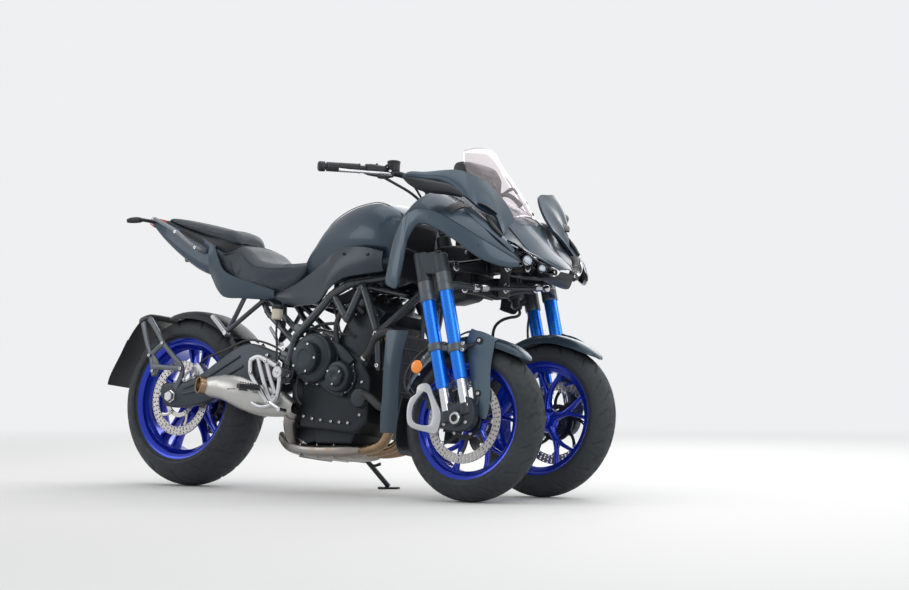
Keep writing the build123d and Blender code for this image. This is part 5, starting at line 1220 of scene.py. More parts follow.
def chain():
    """Plates and rollers of every link: figure-of-eight plates either side of a roller at each pin."""
    pins = chain_line()
    ahead = np.roll(pins, -1, 0)
    plates, rollers = [], []
    for k, (a, b) in enumerate(zip(pins, ahead)):
        out = 7.5 if k % 2 else 5.2
        along = (b - a) / np.linalg.norm(b - a)
        flat = np.array([-along[1], along[0]])
        shape = [a - along * 6, a + flat * 6.5, (a + b) / 2 + flat * 4.6, b + flat * 6.5, b + along * 6,
            b - flat * 6.5, (a + b) / 2 - flat * 4.6, a - flat * 6.5]
        for s in (1, -1):
            grid = np.stack([[(x, SPROCKET_Y + s * y, z) for x, z in shape] for y in (out, out + 2)])
            plates.append(body_of(grid))
        rollers.append(spun((a[0], SPROCKET_Y - 9.8, a[1]), (a[0], SPROCKET_Y + 9.8, a[1]),
            [(0, 2.6), (4, 2.6), (4, 5), (15.6, 5), (15.6, 2.6), (19.6, 2.6)], 10))
    return plates, rollers


plates, rollers = chain()
piece("chain_plates", plates, dark_steel, replaces=["drive_chain"])
piece("chain_rollers", rollers, bright_steel)
guard = [[(x, 126, z) for z in (z0, z1)] for x, z0, z1 in ((120, 442, 462), (240, 452, 478), (400, 480, 502),
    (520, 494, 512))]
piece("chain_guard", [ribbon([[(x, y, z0), (x, y + 4, (z0 + z1) / 2), (x, y - 6, z1), (x, y - 26, z1 + 2)]
    for (x, y, z0), (_, _, z1) in guard], 5, 3)], moulded_black, wall=2.5)


# Rear guard and plate bracket
# Black moulded guard close over the tyre on two lugs of the swingarm; a cast triangulated bracket from the
# axle holds a short tail and a blank plate behind the wheel.
t = np.linspace(-1, 1, 13)
guard = []
for angle, half, lip in ((44, 62, 10), (48, 84, 24), (60, 88, 32), (76, 88, 34), (92, 88, 34), (104, 86, 30),
        (110, 70, 18), (112, 56, 10)):
    y, r = half * np.sin(t * 1.4) / math.sin(1.4), 337 - lip * np.abs(t) ** 3
    guard.append(np.stack([r * math.cos(math.radians(angle)), y,
        REAR_AXLE_Z + r * math.sin(math.radians(angle))], 1))
piece("rear_hugger", [sheet(flow(guard, 6))], moulded_black, wall=3.2, soft_edge=1.0)
lugs = [strut([(226, -86, 545), (262, -104, 520), (300, -116, 488)], (24, 20, 24), (6, 6, 8)),
    strut([(226, 86, 545), (262, 108, 490), (290, 126, 424)], (24, 20, 24), (6, 6, 8))]
piece("hugger_lugs", lugs, moulded_black)
STRUTS = (((16, -136, 352), (52, -148, 424), (0, -150, 474), (-54, -150, 520), (-106, -141, 572),
    (-160, -126, 616)), ((52, -150, 424), (-20, -151, 428), (-95, -150, 430)),
    ((-86, -150, 398), (-100, -149, 432), (-116, -146, 473), (-150, -138, 524), (-190, -126, 600)),
    ((-54, -150, 520), (-86, -149, 498), (-116, -146, 473)))
arms = [strut(line, (24, *(19,) * (len(line) - 2), 24), (15, *(13,) * (len(line) - 2), 15), square=0.5)
    for line in STRUTS]
arms.append(casting([(-80, 398), (-64, 430), (-92, 470), (-120, 480), (-108, 440)], -149, 9, 2, smooth=3))
piece("plate_bracket", arms, collar_grey, replaces=["plate_carrier"])
tail = box_shell([(-150, 126, 618, 632), (-156, 132, 614, 636), (-206, 112, 608, 634), (-262, 78, 602, 626),
    (-270, 70, 604, 620)], 0.5)
flap = [[(x, y * half, z) for y in (-1, -0.5, 0, 0.5, 1)] for x, z,
    half in ((-258, 614, 74), (-280, 574, 86), (-330, 480, 94), (-376, 392, 95), (-388, 366, 88))]
piece("rear_flap", [tail, ribbon(flap, 5, 4)], moulded_black)
plate = casting([(-88, -60), (88, -60), (88, 60), (-88, 60)], (-332, 0, 484), 3, 1, smooth=1,
    across=(-0.89, 0, 0.45), along=(0, 1, 0))
piece("blank_plate", [plate], band_grey)
piece("plate_screws", screws([(x, -158, z) for x, z in ((52, 424), (-54, 520), (-92, 414), (-116, 473))],
    (0, -1, 0), tall=5), bright_steel)


# Foot brackets
# Cast silver hangers with pocketed windows, ribbed black pegs, brake pedal and gear lever, and the
# passenger's pegs on black tubes below the seat.
OUT_Y = -234
truss = (((470, 450), (506, 463), (548, 450), (598, 430)), ((612, 420), (619, 370), (612, 318), (598, 292)),
    ((470, 450), (478, 400), (520, 350), (566, 300)), ((506, 460), (532, 400), (566, 332), (590, 300)),
    ((548, 448), (570, 396), (604, 330)))
hanger = [strut([(x, OUT_Y, z) for x, z in line], (17,) * len(line), (13,) * len(line), square=0.5)
    for line in truss]
hanger.append(strut([(612, OUT_Y, 318), (594, OUT_Y, 291), (545, OUT_Y, 281), (497, OUT_Y, 295)], (13,) * 4,
    (22, 27, 26, 18), side_of=(0, 1, 0), square=0.5))
hanger += [spun((608, OUT_Y - 9, 408), (608, OUT_Y + 9, 408), [(0, 19), (2, 22), (16, 22), (18, 19)], 32),
    rod((600, OUT_Y + 6, 412), (600, -166, 412), 12), rod((548, OUT_Y + 6, 446), (548, -166, 440), 12)]
piece("foot_hangers", both_sides(hanger), cast_silver, replaces=["foot_brackets"])
heel = casting([(474, 446), (500, 456), (522, 448), (514, 402), (496, 376), (480, 392)], OUT_Y + 9, 4, 1.5,
    smooth=4)
pedal = [strut([(602, -236, 322), (592, -246, 302), (630, -250, 280), (668, -250, 268)], (18, 16, 12, 12),
    (12, 10, 10, 10)), rod((668, -244, 268), (668, -284, 268), 8)]
lever = [strut([(602, 236, 322), (598, 248, 300), (640, 250, 282), (676, 250, 274)], (16, 14, 10, 10),
    (10, 9, 9, 9)), rod((676, 244, 274), (676, 282, 274), 8)]
piece("heel_guards", both_sides([heel]), cover_grey, slot="cast_dark")
piece("foot_controls", pedal + lever + both_sides(screws([(x, OUT_Y - 7, z) for x,
    z in ((608, 408), (548, 448), (576, 296), (481, 404))], (0, -1, 0), 7)), bright_steel)
pegs = [strut([(524, -240, 350), (514, -270, 349), (500, -322, 347)], (26, 24, 22), (22, 20, 18), side_of=UP,
    square=0.5)]
pegs += [strut([(524 - 20 * k / 6, -252 - 10 * k, 361), (520 - 20 * k / 6, -255 - 10 * k, 361)], (20, 20),
    (4, 4), side_of=UP, sides=8) for k in range(7)]
piece("foot_pegs", both_sides(pegs), hose_rubber)
tubes = [tube([(430, -97, 718), (380, -120, 670), (320, -142, 612), (262, -150, 566)], 9, steps=4),
    tube([(306, -86, 756), (300, -116, 690), (280, -140, 610), (262, -150, 566)], 9, steps=4)]
piece("pillion_brackets", both_sides(tubes), frame_paint)
folded = [strut([(264, -150, 554), (240, -156, 580), (214, -162, 606), (196, -166, 622)], (20, 18, 18, 16),
    (22, 22, 22, 18)), rod((262, -166, 560), (262, -140, 560), 9)]
piece("pillion_pegs", both_sides(folded), cast_silver)
cream = finish("reservoir_cream", "reservoir", (0.6, 0.56, 0.44), (0.68, 0.64, 0.53), (0.3, 0.42), 200.0,
    0.03, Transmission_Weight=0.15)
piece("fluid_reservoir", [spun((510, -158, 610), (510, -158, 650), [(0, 16), (4, 20), (38, 20.5), (40, 19)],
    36)], cream)
piece("reservoir_cap", [spun((510, -158, 648), (510, -158, 664), [(0, 22), (12, 22), (15, 20), (16, 14)], 16),
    tube([(510, -112, 580), (510, -126, 596), (510, -150, 616)], 6),
    tube([(510, -158, 612), (514, -158, 560), (534, -170, 500), (552, -190, 440)], 4)], moulded_black)


# Side stand
# Forged leg with a welded foot and toe lug, on a pin under the crankcase.
STAND_PIVOT, GROUND = np.array((700.0, 140.0, 167.0)), np.linalg.inv(shifted(0, 0, REST_LIFT)
    @ turned((1, 0, 0), -LEAN))
foot = (GROUND @ (746, 280, 0, 1))[:3]
heel_at = (GROUND @ (746, 280, 11, 1))[:3]
hinge = np.array((0.1020365, 0.75907996, 0.64295114))
pad = [(GROUND @ (746 + x, 280 + y, z, 1))[:3] for x, y, z in ((-34, -10, 4.2), (-12, -4, 4.2), (14, 6, 4.2),
    (38, 14, 4.2))]
side_dir = GROUND[:3, :3] @ (0, 0, 1)
leg = [strut([STAND_PIVOT, STAND_PIVOT * 0.6 + heel_at * 0.4, STAND_PIVOT * 0.1 + heel_at * 0.9, heel_at],
    (15, 18, 18, 20), (17, 17, 17, 17), side_of=hinge, square=0.8),
    spun(STAND_PIVOT - hinge * 9, STAND_PIVOT + hinge * 9, [(0, 15), (2, 17), (16, 17), (18, 15)], 32),
    strut(pad, (30, 42, 42, 28), (8, 8, 8, 8), side_of=side_dir, square=0.5)]
lug = STAND_PIVOT * 0.6 + heel_at * 0.4
leg.append(strut([lug, lug + (20, 4, -4), lug + (44, 6, 4)], (12, 10, 12), (10, 9, 10)))
piece("side_stand", leg, carrier_black, "side_stand")
piece("stand_pin", [spun(STAND_PIVOT - hinge * 19, STAND_PIVOT - hinge * 15, [(0, 11), (3, 12), (4, 12)], 6)],
    bright_steel)


# Tank
# Pressed steel tank under a matte graphite cover, with a filler cap on top and darker gloss knee panels
# screwed to its sides.
TANK_ROWS = ((566, 856, 780, 84, 830), (592, 896, 774, 100, 844), (620, 928, 770, 112, 856),
    (665, 975, 764, 130, 880), (745, 1018, 760, 156, 900), (835, 1043, 768, 180, 905),
    (940, 1048, 800, 196, 900), (1010, 1022, 810, 192, 892), (1052, 978, 830, 166, 888))
PANEL_ROWS = ((470, 716, 690, 122, 128), (560, 742, 664, 134, 140), (630, 776, 664, 142, 160),
    (722, 826, 672, 160, 182), (770, 852, 716, 178, 190), (838, 868, 756, 192, 196),
    (932, 868, 770, 206, 200), (1030, 850, 782, 206, 196))
gloss_dark = finish("gloss_dark", "graphite_paint", (0.011, 0.021, 0.033), (0.016, 0.028, 0.042), (0.3, 0.4),
    1400.0, 0.02, metal=0.25, coat=0.12)


def tank_shell():
    """Rings of the tank's section: a broad crowned top, a soft shoulder and a waist tucked in for the
    knees."""
    rings = []
    for x, top, low, half, shoulder in TANK_ROWS:
        mid = (top + shoulder) / 2
        arc = [(0, top), (half * 0.42, top - 5), (half * 0.74, top - 22), (half * 0.94, mid - 8),
            (half, shoulder), (half * 0.9, (shoulder + low) / 2), (half * 0.7, low), (0, low)]
        rings.append([(x, y, z) for y, z in arc + [(-y, z) for y, z in arc[-2:0:-1]]])
    return body_of(flow_both(rings, 5, 3, closed=True))


def panel_points(bow):
    """Knee panel from its top edge to its low one, bowed outwards between them."""
    return [[(x, ya, za), (x, (ya * 0.66 + yb * 0.34) + bow, za * 0.66 + zb * 0.34),
        (x, (ya * 0.3 + yb * 0.7) + bow, za * 0.3 + zb * 0.7), (x, yb, zb)] for x, za, zb, ya,
        yb in PANEL_ROWS]


piece("fuel_tank_cover", [tank_shell()], graphite, replaces=["fuel_tank"], crease=50)
piece("tank_seams", both_sides([tube([(600, 62, 905), (665, 76, 974), (745, 96, 1012), (835, 112, 1035),
    (940, 120, 1040), (1040, 110, 990)], 1.6, 8), tube([(1046, y, 986 - abs(y) * 0.12)
    for y in (0, 60, 120, 168)], 1.6, 8)]), moulded_black)
cap = [spun((800, 0, 1030), (798, 0, 1048), [(0, 44), (10, 44), (13, 41), (14, 34), (15, 34), (17, 30),
    (18, 12)], 48)]
piece("filler_cap", cap, carrier_black, slot="black_plastic")
piece("filler_screws", [screw((800 + 38 * math.cos(a), 38 * math.sin(a), 1040), (0, 0, 1), 3.4, 4)
    for a in np.arange(6) * math.pi / 3], bright_steel)
piece("tank_panels", both_sides([wedge(panel_points(7), 5)]), gloss_dark, crease=45)
piece("tank_panel_screws", both_sides(screws(((838, 203, 846), (962, 212, 840), (766, 188, 722)), (0, 1, 0.1),
    tall=4)), dark_steel)


# Seats and tail
# Two-piece saddle of foam under stretched vinyl with a stitched and piped edge, over slim graphite side
# panels, a hollow tail tray, cast grab rails and the rear lamps.
vinyl = finish("seat_vinyl", "vinyl", (0.012, 0.02, 0.03), (0.022, 0.034, 0.048), (0.5, 0.68), 1100.0, 0.25,
    fine_bump=0.35, coat=0.08)
SEAT_VOXEL, SEAT_PRESSURE, SEAT_STEPS = 0.006, 4.0, 20
SEAT_ROWS = ((562, 850, 800, 84, 14), (500, 836, 716, 112, 16), (428, 832, 708, 142, 18),
    (350, 846, 716, 152, 20), (289, 890, 726, 150, 22), (250, 902, 748, 140, 24), (170, 884, 800, 124, 16),
    (124, 908, 852, 112, 10))
PILLION_ROWS = ((222, 912, 900, 78, 4), (196, 952, 900, 92, 14), (120, 968, 918, 104, 16),
    (14, 989, 948, 108, 16), (-100, 1008, 978, 96, 14), (-172, 1018, 998, 76, 8))


def cushion(rows, shrink=0.0):
    """Closed pad: each section has a crowned top, rolled shoulders, sides and a flat foot."""
    rings = []
    for x, top, low, half, crown in rows:
        h, t, b = half - shrink, top - shrink, low + shrink
        half_ring = [(0, t), (h * 0.5, t - crown * 0.2), (h * 0.82, t - crown * 0.6),
            (h * 0.97, t - crown * 1.4), (h, (t + b) / 2 - crown * 0.3), (h * 0.97, b + 4), (h * 0.9, b),
            (h * 0.4, b), (0, b)]
        rings.append([(x, y, z) for y, z in half_ring + [(-y, z) for y, z in half_ring[-2:0:-1]]])
    return body_of(flow_both(rings, 6, 2, closed=True))


def stuffed(made, cap):
    """Blows the pad up as cloth from its slightly small shape, with no point moved more than the cap, then
    smooths it."""
    bpy.context.view_layer.objects.active = made
    remesh = made.modifiers.new("remesh", "REMESH")
    remesh.mode, remesh.voxel_size = "VOXEL", SEAT_VOXEL
    made.select_set(True)
    bpy.ops.object.modifier_apply(modifier="remesh")
    made.select_set(False)
    start = np.empty(len(made.data.vertices) * 3)
    made.data.vertices.foreach_get("co", start)
    cloth = made.modifiers.new("cloth", "CLOTH")
    cloth.settings.use_pressure, cloth.settings.uniform_pressure_force = True, SEAT_PRESSURE
    cloth.settings.effector_weights.gravity = 0
    cloth.settings.quality = 5
    for step in range(1, SEAT_STEPS + 1):
        bpy.context.scene.frame_set(step)
    shown = made.evaluated_get(bpy.context.evaluated_depsgraph_get()).data
    end = np.empty(len(shown.vertices) * 3)
    shown.vertices.foreach_get("co", end)
    made.modifiers.remove(cloth)
    bpy.context.scene.frame_set(1)
    move = (end - start).reshape(-1, 3)
    long = np.linalg.norm(move, axis=1, keepdims=True)
    move *= np.minimum(1, cap / np.maximum(long, 1e-9))
    made.data.vertices.foreach_set("co", (start.reshape(-1, 3) + move).ravel())
    made.data.update()
    made.data.shade_smooth()
    smooth = made.modifiers.new("smooth", "SUBSURF")
    smooth.levels = smooth.render_levels = 1


def laid(made, points, way, radius):
    """Cord along the points where rays through them, in a direction, first meet a piece's shown surface."""
    graph = bpy.context.evaluated_depsgraph_get()
    shown = made.evaluated_get(graph)
    found = []
    for point in points:
        start = FIXED[:3, :3] @ (np.array(point, float) - 300 * np.array(way)) + FIXED[:3, 3]
        hit, where, _, _ = shown.ray_cast((start * MM).tolist(),
            (FIXED[:3, :3] @ np.array(way, float)).tolist())
        if hit:
            found.append(np.array(where) / MM)
    return tube(found, radius, 8, 3)


rider = piece("rider_seat", [cushion(SEAT_ROWS, 4)], vinyl, crease=80)
pillion = piece("pillion_seat", [cushion(PILLION_ROWS, 3.5)], vinyl, crease=80)
stuffed(rider, 0.006)
stuffed(pillion, 0.005)
cords = []
for made, rows in ((rider, SEAT_ROWS[1:-1]), (pillion, PILLION_ROWS[1:-1])):
    for side in (1, -1):
        cords.append(laid(made, [(x, side * half, top - crown * 1.5) for x, top, low, half, crown in rows],
            (0, -side, 0), 1.8))
cords += [laid(rider, [(x, y * half, 900) for y in np.linspace(-0.9, 0.9, 13)], (0, 0, -1), 1.6) for x,
    half in ((262, 142), (470, 124))]
piece("seat_piping", cords, hose_rubber, slot="vinyl", place=np.eye(4))
PANEL_LOW = ((104, 900, 800, 118, 108), (132, 890, 764, 122, 112), (162, 848, 730, 130, 118),
    (204, 800, 700, 140, 122), (300, 764, 694, 156, 126), (380, 745, 690, 156, 126),
    (470, 720, 690, 142, 128))
rows = [[(x, ya, za), (x, (ya + yb) / 2 + 6, (za + zb) / 2), (x, yb, zb)] for x, za, zb, ya, yb in PANEL_LOW]
piece("side_panels", both_sides([wedge(rows, 5)]), graphite, crease=45)
TAIL = ((120, 896, 782, 96), (40, 930, 802, 92), (-60, 962, 850, 84), (-180, 994, 924, 74),
    (-262, 1008, 984, 60))
tray = [[(x, y * side_y, z) for y, side_y, z in ((-1, w + 5, top), (-1, w + 3, (top + low) / 2),
    (-1, w, low + 12), (-1, w * 0.7, low), (0, 0, low - 2), (1, w * 0.7, low), (1, w, low + 12),
    (1, w + 3, (top + low) / 2), (1, w + 5, top))] for x, top, low, w in TAIL]
piece("tail_cover", [ribbon(tray, 5, 3)], graphite, wall=3.5, soft_edge=0.8)
lid = [[(x, y * w, z - 2) for y in (-1, -0.5, 0, 0.5, 1)] for x, z,
    w in ((100, 906, 94), (0, 944, 90), (-100, 976, 82), (-200, 1000, 70), (-256, 1006, 60))]
piece("tail_lid", [ribbon(lid, 4, 3)], moulded_black, wall=3.0)
# Grab rail paint: a much lighter copy of the graphite paint, in the same slot; its extra lightness is painted
# light, making up for the shade on the rails beside the tail.
rail_grey_painted_light = finish("rail_grey_painted_light", "graphite_paint", (0.17, 0.185, 0.205), (0.23, 0.245, 0.265), (0.35, 0.5),
    420.0, 0.12, metal=0.4, fine_bump=0.2)
rail = [strut([(62, 92, 872), (52, 130, 884), (0, 135, 913), (-60, 130, 947), (-140, 117, 979),
    (-212, 100, 1005), (-228, 74, 1005)], (21, 19, 18, 18, 18, 17, 18), (15, 14, 12, 12, 12, 12, 14),
    side_of=UP)]
piece("grab_rails", both_sides(rail), rail_grey_painted_light)
piece("grab_screws", both_sides(screws(((50, 138, 884), (-62, 136, 946), (-206, 106, 1003)), tall=5)),
    bright_steel)
base = box_shell([(212, 66, 866, 912), (160, 92, 852, 930), (60, 98, 880, 946), (-60, 90, 930, 974),
    (-170, 74, 976, 1004)], 0.5)
piece("pillion_base", [base], moulded_black)
tail_red = finish("tail_red", "lamp", (0.35, 0.004, 0.006), (0.5, 0.01, 0.012), (0.06, 0.14), 500.0, 0.1,
    coat=1.0)
tail_lamp = casting([(-262, 984), (-280, 994), (-276, 1011), (-262, 1013)], 0, 100, 3, smooth=1)
piece("tail_lamp", [tail_lamp], tail_red, replaces=["rear_lamps"])
stalk = [rod((-245, 64, 998), (-262, 132, 998), 7), strut([(-262, 118, 997), (-271, 138, 994),
    (-281, 156, 990), (-289, 168, 986)], (18, 23, 21, 13), (14, 18, 16, 11), square=0.7)]
piece("rear_indicators", both_sides(stalk), moulded_black)


# Side cowls
# Injection-moulded covers in graphite paint, arched over the forks, with the arch's lip a lighter band of its
# own, a gloss cheek beside the nose and a black socket for the mirror's arm. Stays from the cast head carry
# them.
COWL_ROWS = ((1160, 322, 776, 328, 768, 330, 716), (1186, 330, 888, 338, 878, 340, 706),
    (1222, 318, 968, 346, 944, 348, 704), (1240, 300, 1000, 348, 958, 349, 780),
    (1252, 284, 1020, 350, 965, 350, 866), (1270, 270, 1040, 350, 972, 351, 899),
    (1302, 250, 1052, 351, 979, 352, 926), (1372, 222, 1026, 351, 966, 351, 911),
    (1466, 206, 974, 339, 925, 338, 862), (1544, 206, 908, 298, 878, 294, 808),
    (1608, 206, 848, 236, 834, 236, 789), (1642, 196, 816, 200, 812, 198, 796))
NOSE_ROWS = ((1312, 1092, 120, 1066, 240, 1050), (1372, 1060, 132, 1050, 216, 1026),
    (1466, 1008, 124, 992, 200, 974), (1544, 940, 108, 916, 196, 900), (1600, 892, 92, 862, 150, 868),
    (1660, 846, 66, 834, 84, 828), (1704, 812, 30, 806, 44, 800))


def cowl_skin():
    """Rows across the cowl from its seam beside the nose to the arch's lip, bowed out by an eighth of their
    width."""
    rows = []
    for x, seam_y, seam_z, lip_y, lip_z, *_ in COWL_ROWS:
        across, down = lip_y - seam_y, seam_z - lip_z
        wide = math.hypot(across, down)
        row = []
        for t in (0, 0.3, 0.6, 0.85, 1):
            bow = min(18.0, 0.14 * wide) * 4 * t * (1 - t)
            row.append((x, seam_y + across * t + bow * down / wide, seam_z - down * t + bow * across / wide))
        rows.append(row)
    return rows


def arch_band():
    """Lip of the arch: out from the cowl's edge, down, and back in under the fender side."""
    return [[(x, lip_y + 1, lip_z), (x, (lip_y + low_y) / 2 + 5, (lip_z + low_z) / 2),
        (x, low_y + 1, low_z + 2), (x, low_y - 6, low_z - 2), (x, low_y - (2 + 18 * (x > 1290)), low_z + 3)]
        for x, _, _, lip_y, lip_z, low_y, low_z in COWL_ROWS]


def edge_line(part, radius=1.5):
    return tube(part, radius, 8, 4)


skin, band = cowl_skin(), arch_band()
piece("side_cowls", both_sides([ribbon(skin, 5, 5)]), graphite, wall=3.6, soft_edge=1.0)
piece("arch_bands", both_sides([ribbon(band, 5, 3)]), band_grey, wall=3.0, soft_edge=0.8)
# Black sheets inside the cowls, under the arch lips and across the back of the arches: painted shade,
# standing in for the shade inside the arches.
shade_liner = [[(x, y - 6, z - 5) for x, y, z in row] for row in skin]
inside = [[(x, y - 4, z) for x, y, z in row[:3]] + [(row[3][0], row[3][1] + 2, row[3][2] + 5)]
    for row in band]
back = [[(1146, y * out, z) for y in (0.22, 0.5, 0.78, 1)] for out,
    z in ((300, 742), (296, 800), (276, 888), (232, 956))]
piece("arch_shade_liners", both_sides([ribbon(shade_liner, 4, 4), ribbon(inside, 4, 3), ribbon(back, 4, 3)]),
    moulded_black, wall=1.5)
patch = [[np.add(np.array(a) * (1 - s) + np.array(b) * s, (0, 3, 5)) for a, b in zip(skin[7], skin[8])]
    for s in (0.3, 0.48, 0.64)]
piece("cowl_vents", both_sides([ribbon([row[:4] for row in patch], 3, 4)]), moulded_black, wall=3.0,
    soft_edge=0.8)
lines = [edge_line([(x, y + 0.6, z + 0.6) for x, y, z in (row[-1] for row in skin)]),
    edge_line([(x, y, z + 0.8) for x, y, z in (row[0] for row in skin[4:])])]
piece("cowl_seams", both_sides(lines), moulded_black)
cheek = [[(x, y, z + 1.5) for x, y, z in row] for row in (((1440, 214, 992), (1450, 244, 996),
    (1446, 288, 984)), ((1500, 206, 952), (1508, 240, 950), (1510, 272, 932)),
    ((1560, 200, 902), (1568, 224, 898), (1574, 248, 884)), ((1610, 186, 852), (1616, 198, 848),
    (1620, 208, 838)))]
piece("cowl_cheeks", both_sides([ribbon(cheek, 5, 4)]), graphite, wall=4.0, soft_edge=1.0)
socket = [strut([(1474, 246, 1010), (1498, 230, 1002), (1532, 206, 978)], (18, 34, 14), (6, 8, 6),
    side_of=UP)]
intake = [strut([(1506, 228, 966), (1540, 234, 932), (1576, 224, 896)], (14, 18, 10), (12, 12, 10),
    side_of=(0.5, 0.3, 1))]
piece("mirror_sockets", both_sides(socket + intake), moulded_black)
piece("cowl_screws", both_sides([screw(at, out, 6, 4) for at,
    out in (((1196, 338, 840), (0, 1, 0)), ((1352, 353, 944), (0, 1, 0)), ((1536, 302, 852), (0.3, 1, 0)))]),
    dark_steel)


# Nose
# A beak of three moulded panels from the instruments down between the headlights, over a black chin.
def nose_strip(low, high):
    rows = []
    for x, crest, edge_y, edge_z, seam_y, seam_z in NOSE_ROWS:
        points = {0: (x, 0, crest), 1: (x, edge_y * 0.55, crest - (crest - edge_z) * 0.28),
            2: (x, edge_y, edge_z), 3: (x, (edge_y + seam_y) / 2, (edge_z + seam_z) / 2 + 3),
            4: (x, seam_y, seam_z)}
        rows.append([points[k] for k in range(low, high + 1)])
    return rows


centre = [[(x, -y, z) for x, y, z in row[:0:-1]] + list(row) for row in nose_strip(0, 2)]
piece("nose_beak", [ribbon(centre, 5, 3)], graphite, replaces=["nose_cowl"], wall=3.6, soft_edge=1.0)
piece("nose_sides", both_sides([ribbon(nose_strip(2, 4), 5, 3)]), graphite, wall=3.6, soft_edge=1.0)
piece("nose_lines", both_sides([edge_line([row[0] for row in nose_strip(2, 4)], 3.0)]), moulded_black)
chin = [[(1560, y, 782 - 0.1 * abs(y)) for y in (-150, -80, 0, 80, 150)],
    [(1620, y, 770 - 0.1 * abs(y)) for y in (-120, -60, 0, 60, 120)],
    [(1668, y, 770) for y in (-74, -37, 0, 37, 74)], [(1692, y, 779) for y in (-46, -23, 0, 23, 46)],
    [(1702, y, 797) for y in (-36, -18, 0, 18, 36)]]
piece("nose_chin", [ribbon(chin, 4, 4)], moulded_black, wall=3.5, soft_edge=1.0)


# Headlights
# A clear lens each side of the beak over a black bowl with two projector lenses, whose pale white is a
# painted highlight, and a daylight strip along its top.
TOP_LINE = ((1583, 200, 887), (1618, 180, 870), (1661, 110, 824), (1697, 58, 802))
LOW_LINE = ((1597, 190, 852), (1635, 160, 814), (1667, 110, 788), (1699, 58, 780))
lens_clear = finish("lens_clear", "lamp", (0.85, 0.88, 0.92), (0.92, 0.94, 0.96), (0.02, 0.05), 300.0, 0.01,
    Transmission_Weight=1.0, IOR=1.12)
# Pale white of the daylight strips; on the projector lenses the same white is a painted highlight.
strip_white_and_lens_glint = finish("strip_white_and_lens_glint", "lamp", (0.75, 0.8, 0.85), (0.9, 0.92, 0.95), (0.1, 0.2), 600.0, 0.05,
    coat=0.6)


def lamp_face(deep, shrink=0.0, swell=0.0):
    """Sheet between the lamp's top and low lines, set back into the nose and bowed out in the middle."""
    top, low = np.array(TOP_LINE, float), np.array(LOW_LINE, float)
    back = np.array([-0.86, -0.45, 0.2]) * deep
    middle = (top + low) / 2 + (9 + swell, 5 + swell / 2, 0)
    top, low = top + (low - top) * shrink, low + (top - low) * shrink
    return np.stack([top, middle, low], 1) + back


bowl = np.concatenate([lamp_face(2)[:, :1], lamp_face(26, 0.2, -14), lamp_face(2)[:, 2:]], 1)
ends = [ribbon([bowl[k], bowl[k] * 0.35 + bowl[k].mean(0) * 0.65], 2, 3) for k in (0, -1)]
piece("headlight_bowls", both_sides([ribbon(bowl, 5, 4), *ends]), moulded_black, replaces=["headlights"],
    wall=2.5)
piece("headlight_lenses", both_sides([ribbon(lamp_face(0), 6, 5)]), lens_clear, wall=2.2)
aims = (((1634, 140, 822), 20, (0.86, 0.45, -0.1)), ((1666, 94, 800), 16, (0.9, 0.38, -0.1)))
rings, lens_highlights = [], []
for at, r, out in aims:
    near, far = np.array(at) - np.array(out) * 20, np.array(at, float)
    rings.append(spun(near, far, [(0, r - 2), (10, r + 3), (17, r + 4), (20, r + 2), (18, r), (14, r - 1)],
        40))
    lens_highlights.append(spun(near + np.array(out) * 8, far + np.array(out) * 2,
        [(0, r - 1), (4, r - 1), (8, r - 4), (11, r - 9), (12, 1)], 40))
piece("headlight_rings", both_sides(rings), dark_steel)
# The projector lenses are pale white all over: a painted highlight standing in for the bright reflections on
# their glass.
piece("projector_lenses", both_sides(lens_highlights), strip_white_and_lens_glint)
piece("daylight_strips", both_sides([tube([np.array(p) + (-4, -2, -9) for p in TOP_LINE[:2]], 2.4, 10)]),
    strip_white_and_lens_glint)


# Windscreen
# Blow-moulded smoky screen with a bright edge, on four rubber-bushed screws.
SCREEN_ROWS = ((1510, 998, 112, 44), (1462, 1066, 128, 64), (1402, 1136, 128, 64), (1334, 1208, 114, 52),
    (1300, 1250, 100, 34))
smoke = finish("screen_smoke", "screen", (0.84, 0.78, 0.8), (0.88, 0.82, 0.84), (0.03, 0.06), 200.0, 0.0,
    Transmission_Weight=0.9, IOR=1.06, Specular_IOR_Level=0.15)


def screen_rows():
    return [[(x - 0.76 * back * t * t, half * t, z - 0.65 * back * t * t)
        for t in (-1, -0.8, -0.5, 0, 0.5, 0.8, 1)] for x, z, half, back in SCREEN_ROWS]


piece("windscreen", [ribbon(screen_rows(), 8, 6)], smoke, wall=3.0)
piece("screen_screws", both_sides(screws(((1468, 74, 1020), (1424, 88, 1062)), (0.76, 0, 0.65), 6.5, 5)),
    moulded_black)
bracket = [strut([(1300, 60, 1080), (1360, 62, 1090), (1420, 70, 1050)], (18, 16, 20), (8, 8, 8),
    side_of=(0, 1, 0)), tube([(1330, 60, 1082), (1380, 64, 1112), (1400, 66, 1096)], 6)]
piece("screen_brackets", both_sides(bracket), carrier_black, slot="black_plastic")


# Instruments
# A colour screen in a black moulded hood, facing the rider behind the windscreen.
screen_glass = finish("screen_glass", "screen", (0.005, 0.006, 0.008), (0.01, 0.011, 0.013), (0.05, 0.1),
    500.0, 0.01, coat=1.0)
hood = box_shell([(1210, 70, 1148, 1180), (1222, 78, 1138, 1192), (1254, 80, 1120, 1196),
    (1296, 74, 1098, 1184), (1330, 60, 1082, 1148)])
base = box_shell([(1262, 36, 1070, 1130), (1290, 42, 1050, 1120), (1316, 36, 1054, 1100)])
piece("instrument_hood", [hood, base], moulded_black)
display = casting([(-64, -15), (64, -15), (64, 15), (-64, 15)], (1210, 0, 1164), 6, 2, smooth=1,
    across=(-0.97, 0, 0.2), along=(0, 1, 0))
piece("instrument_screen", [display], screen_glass)


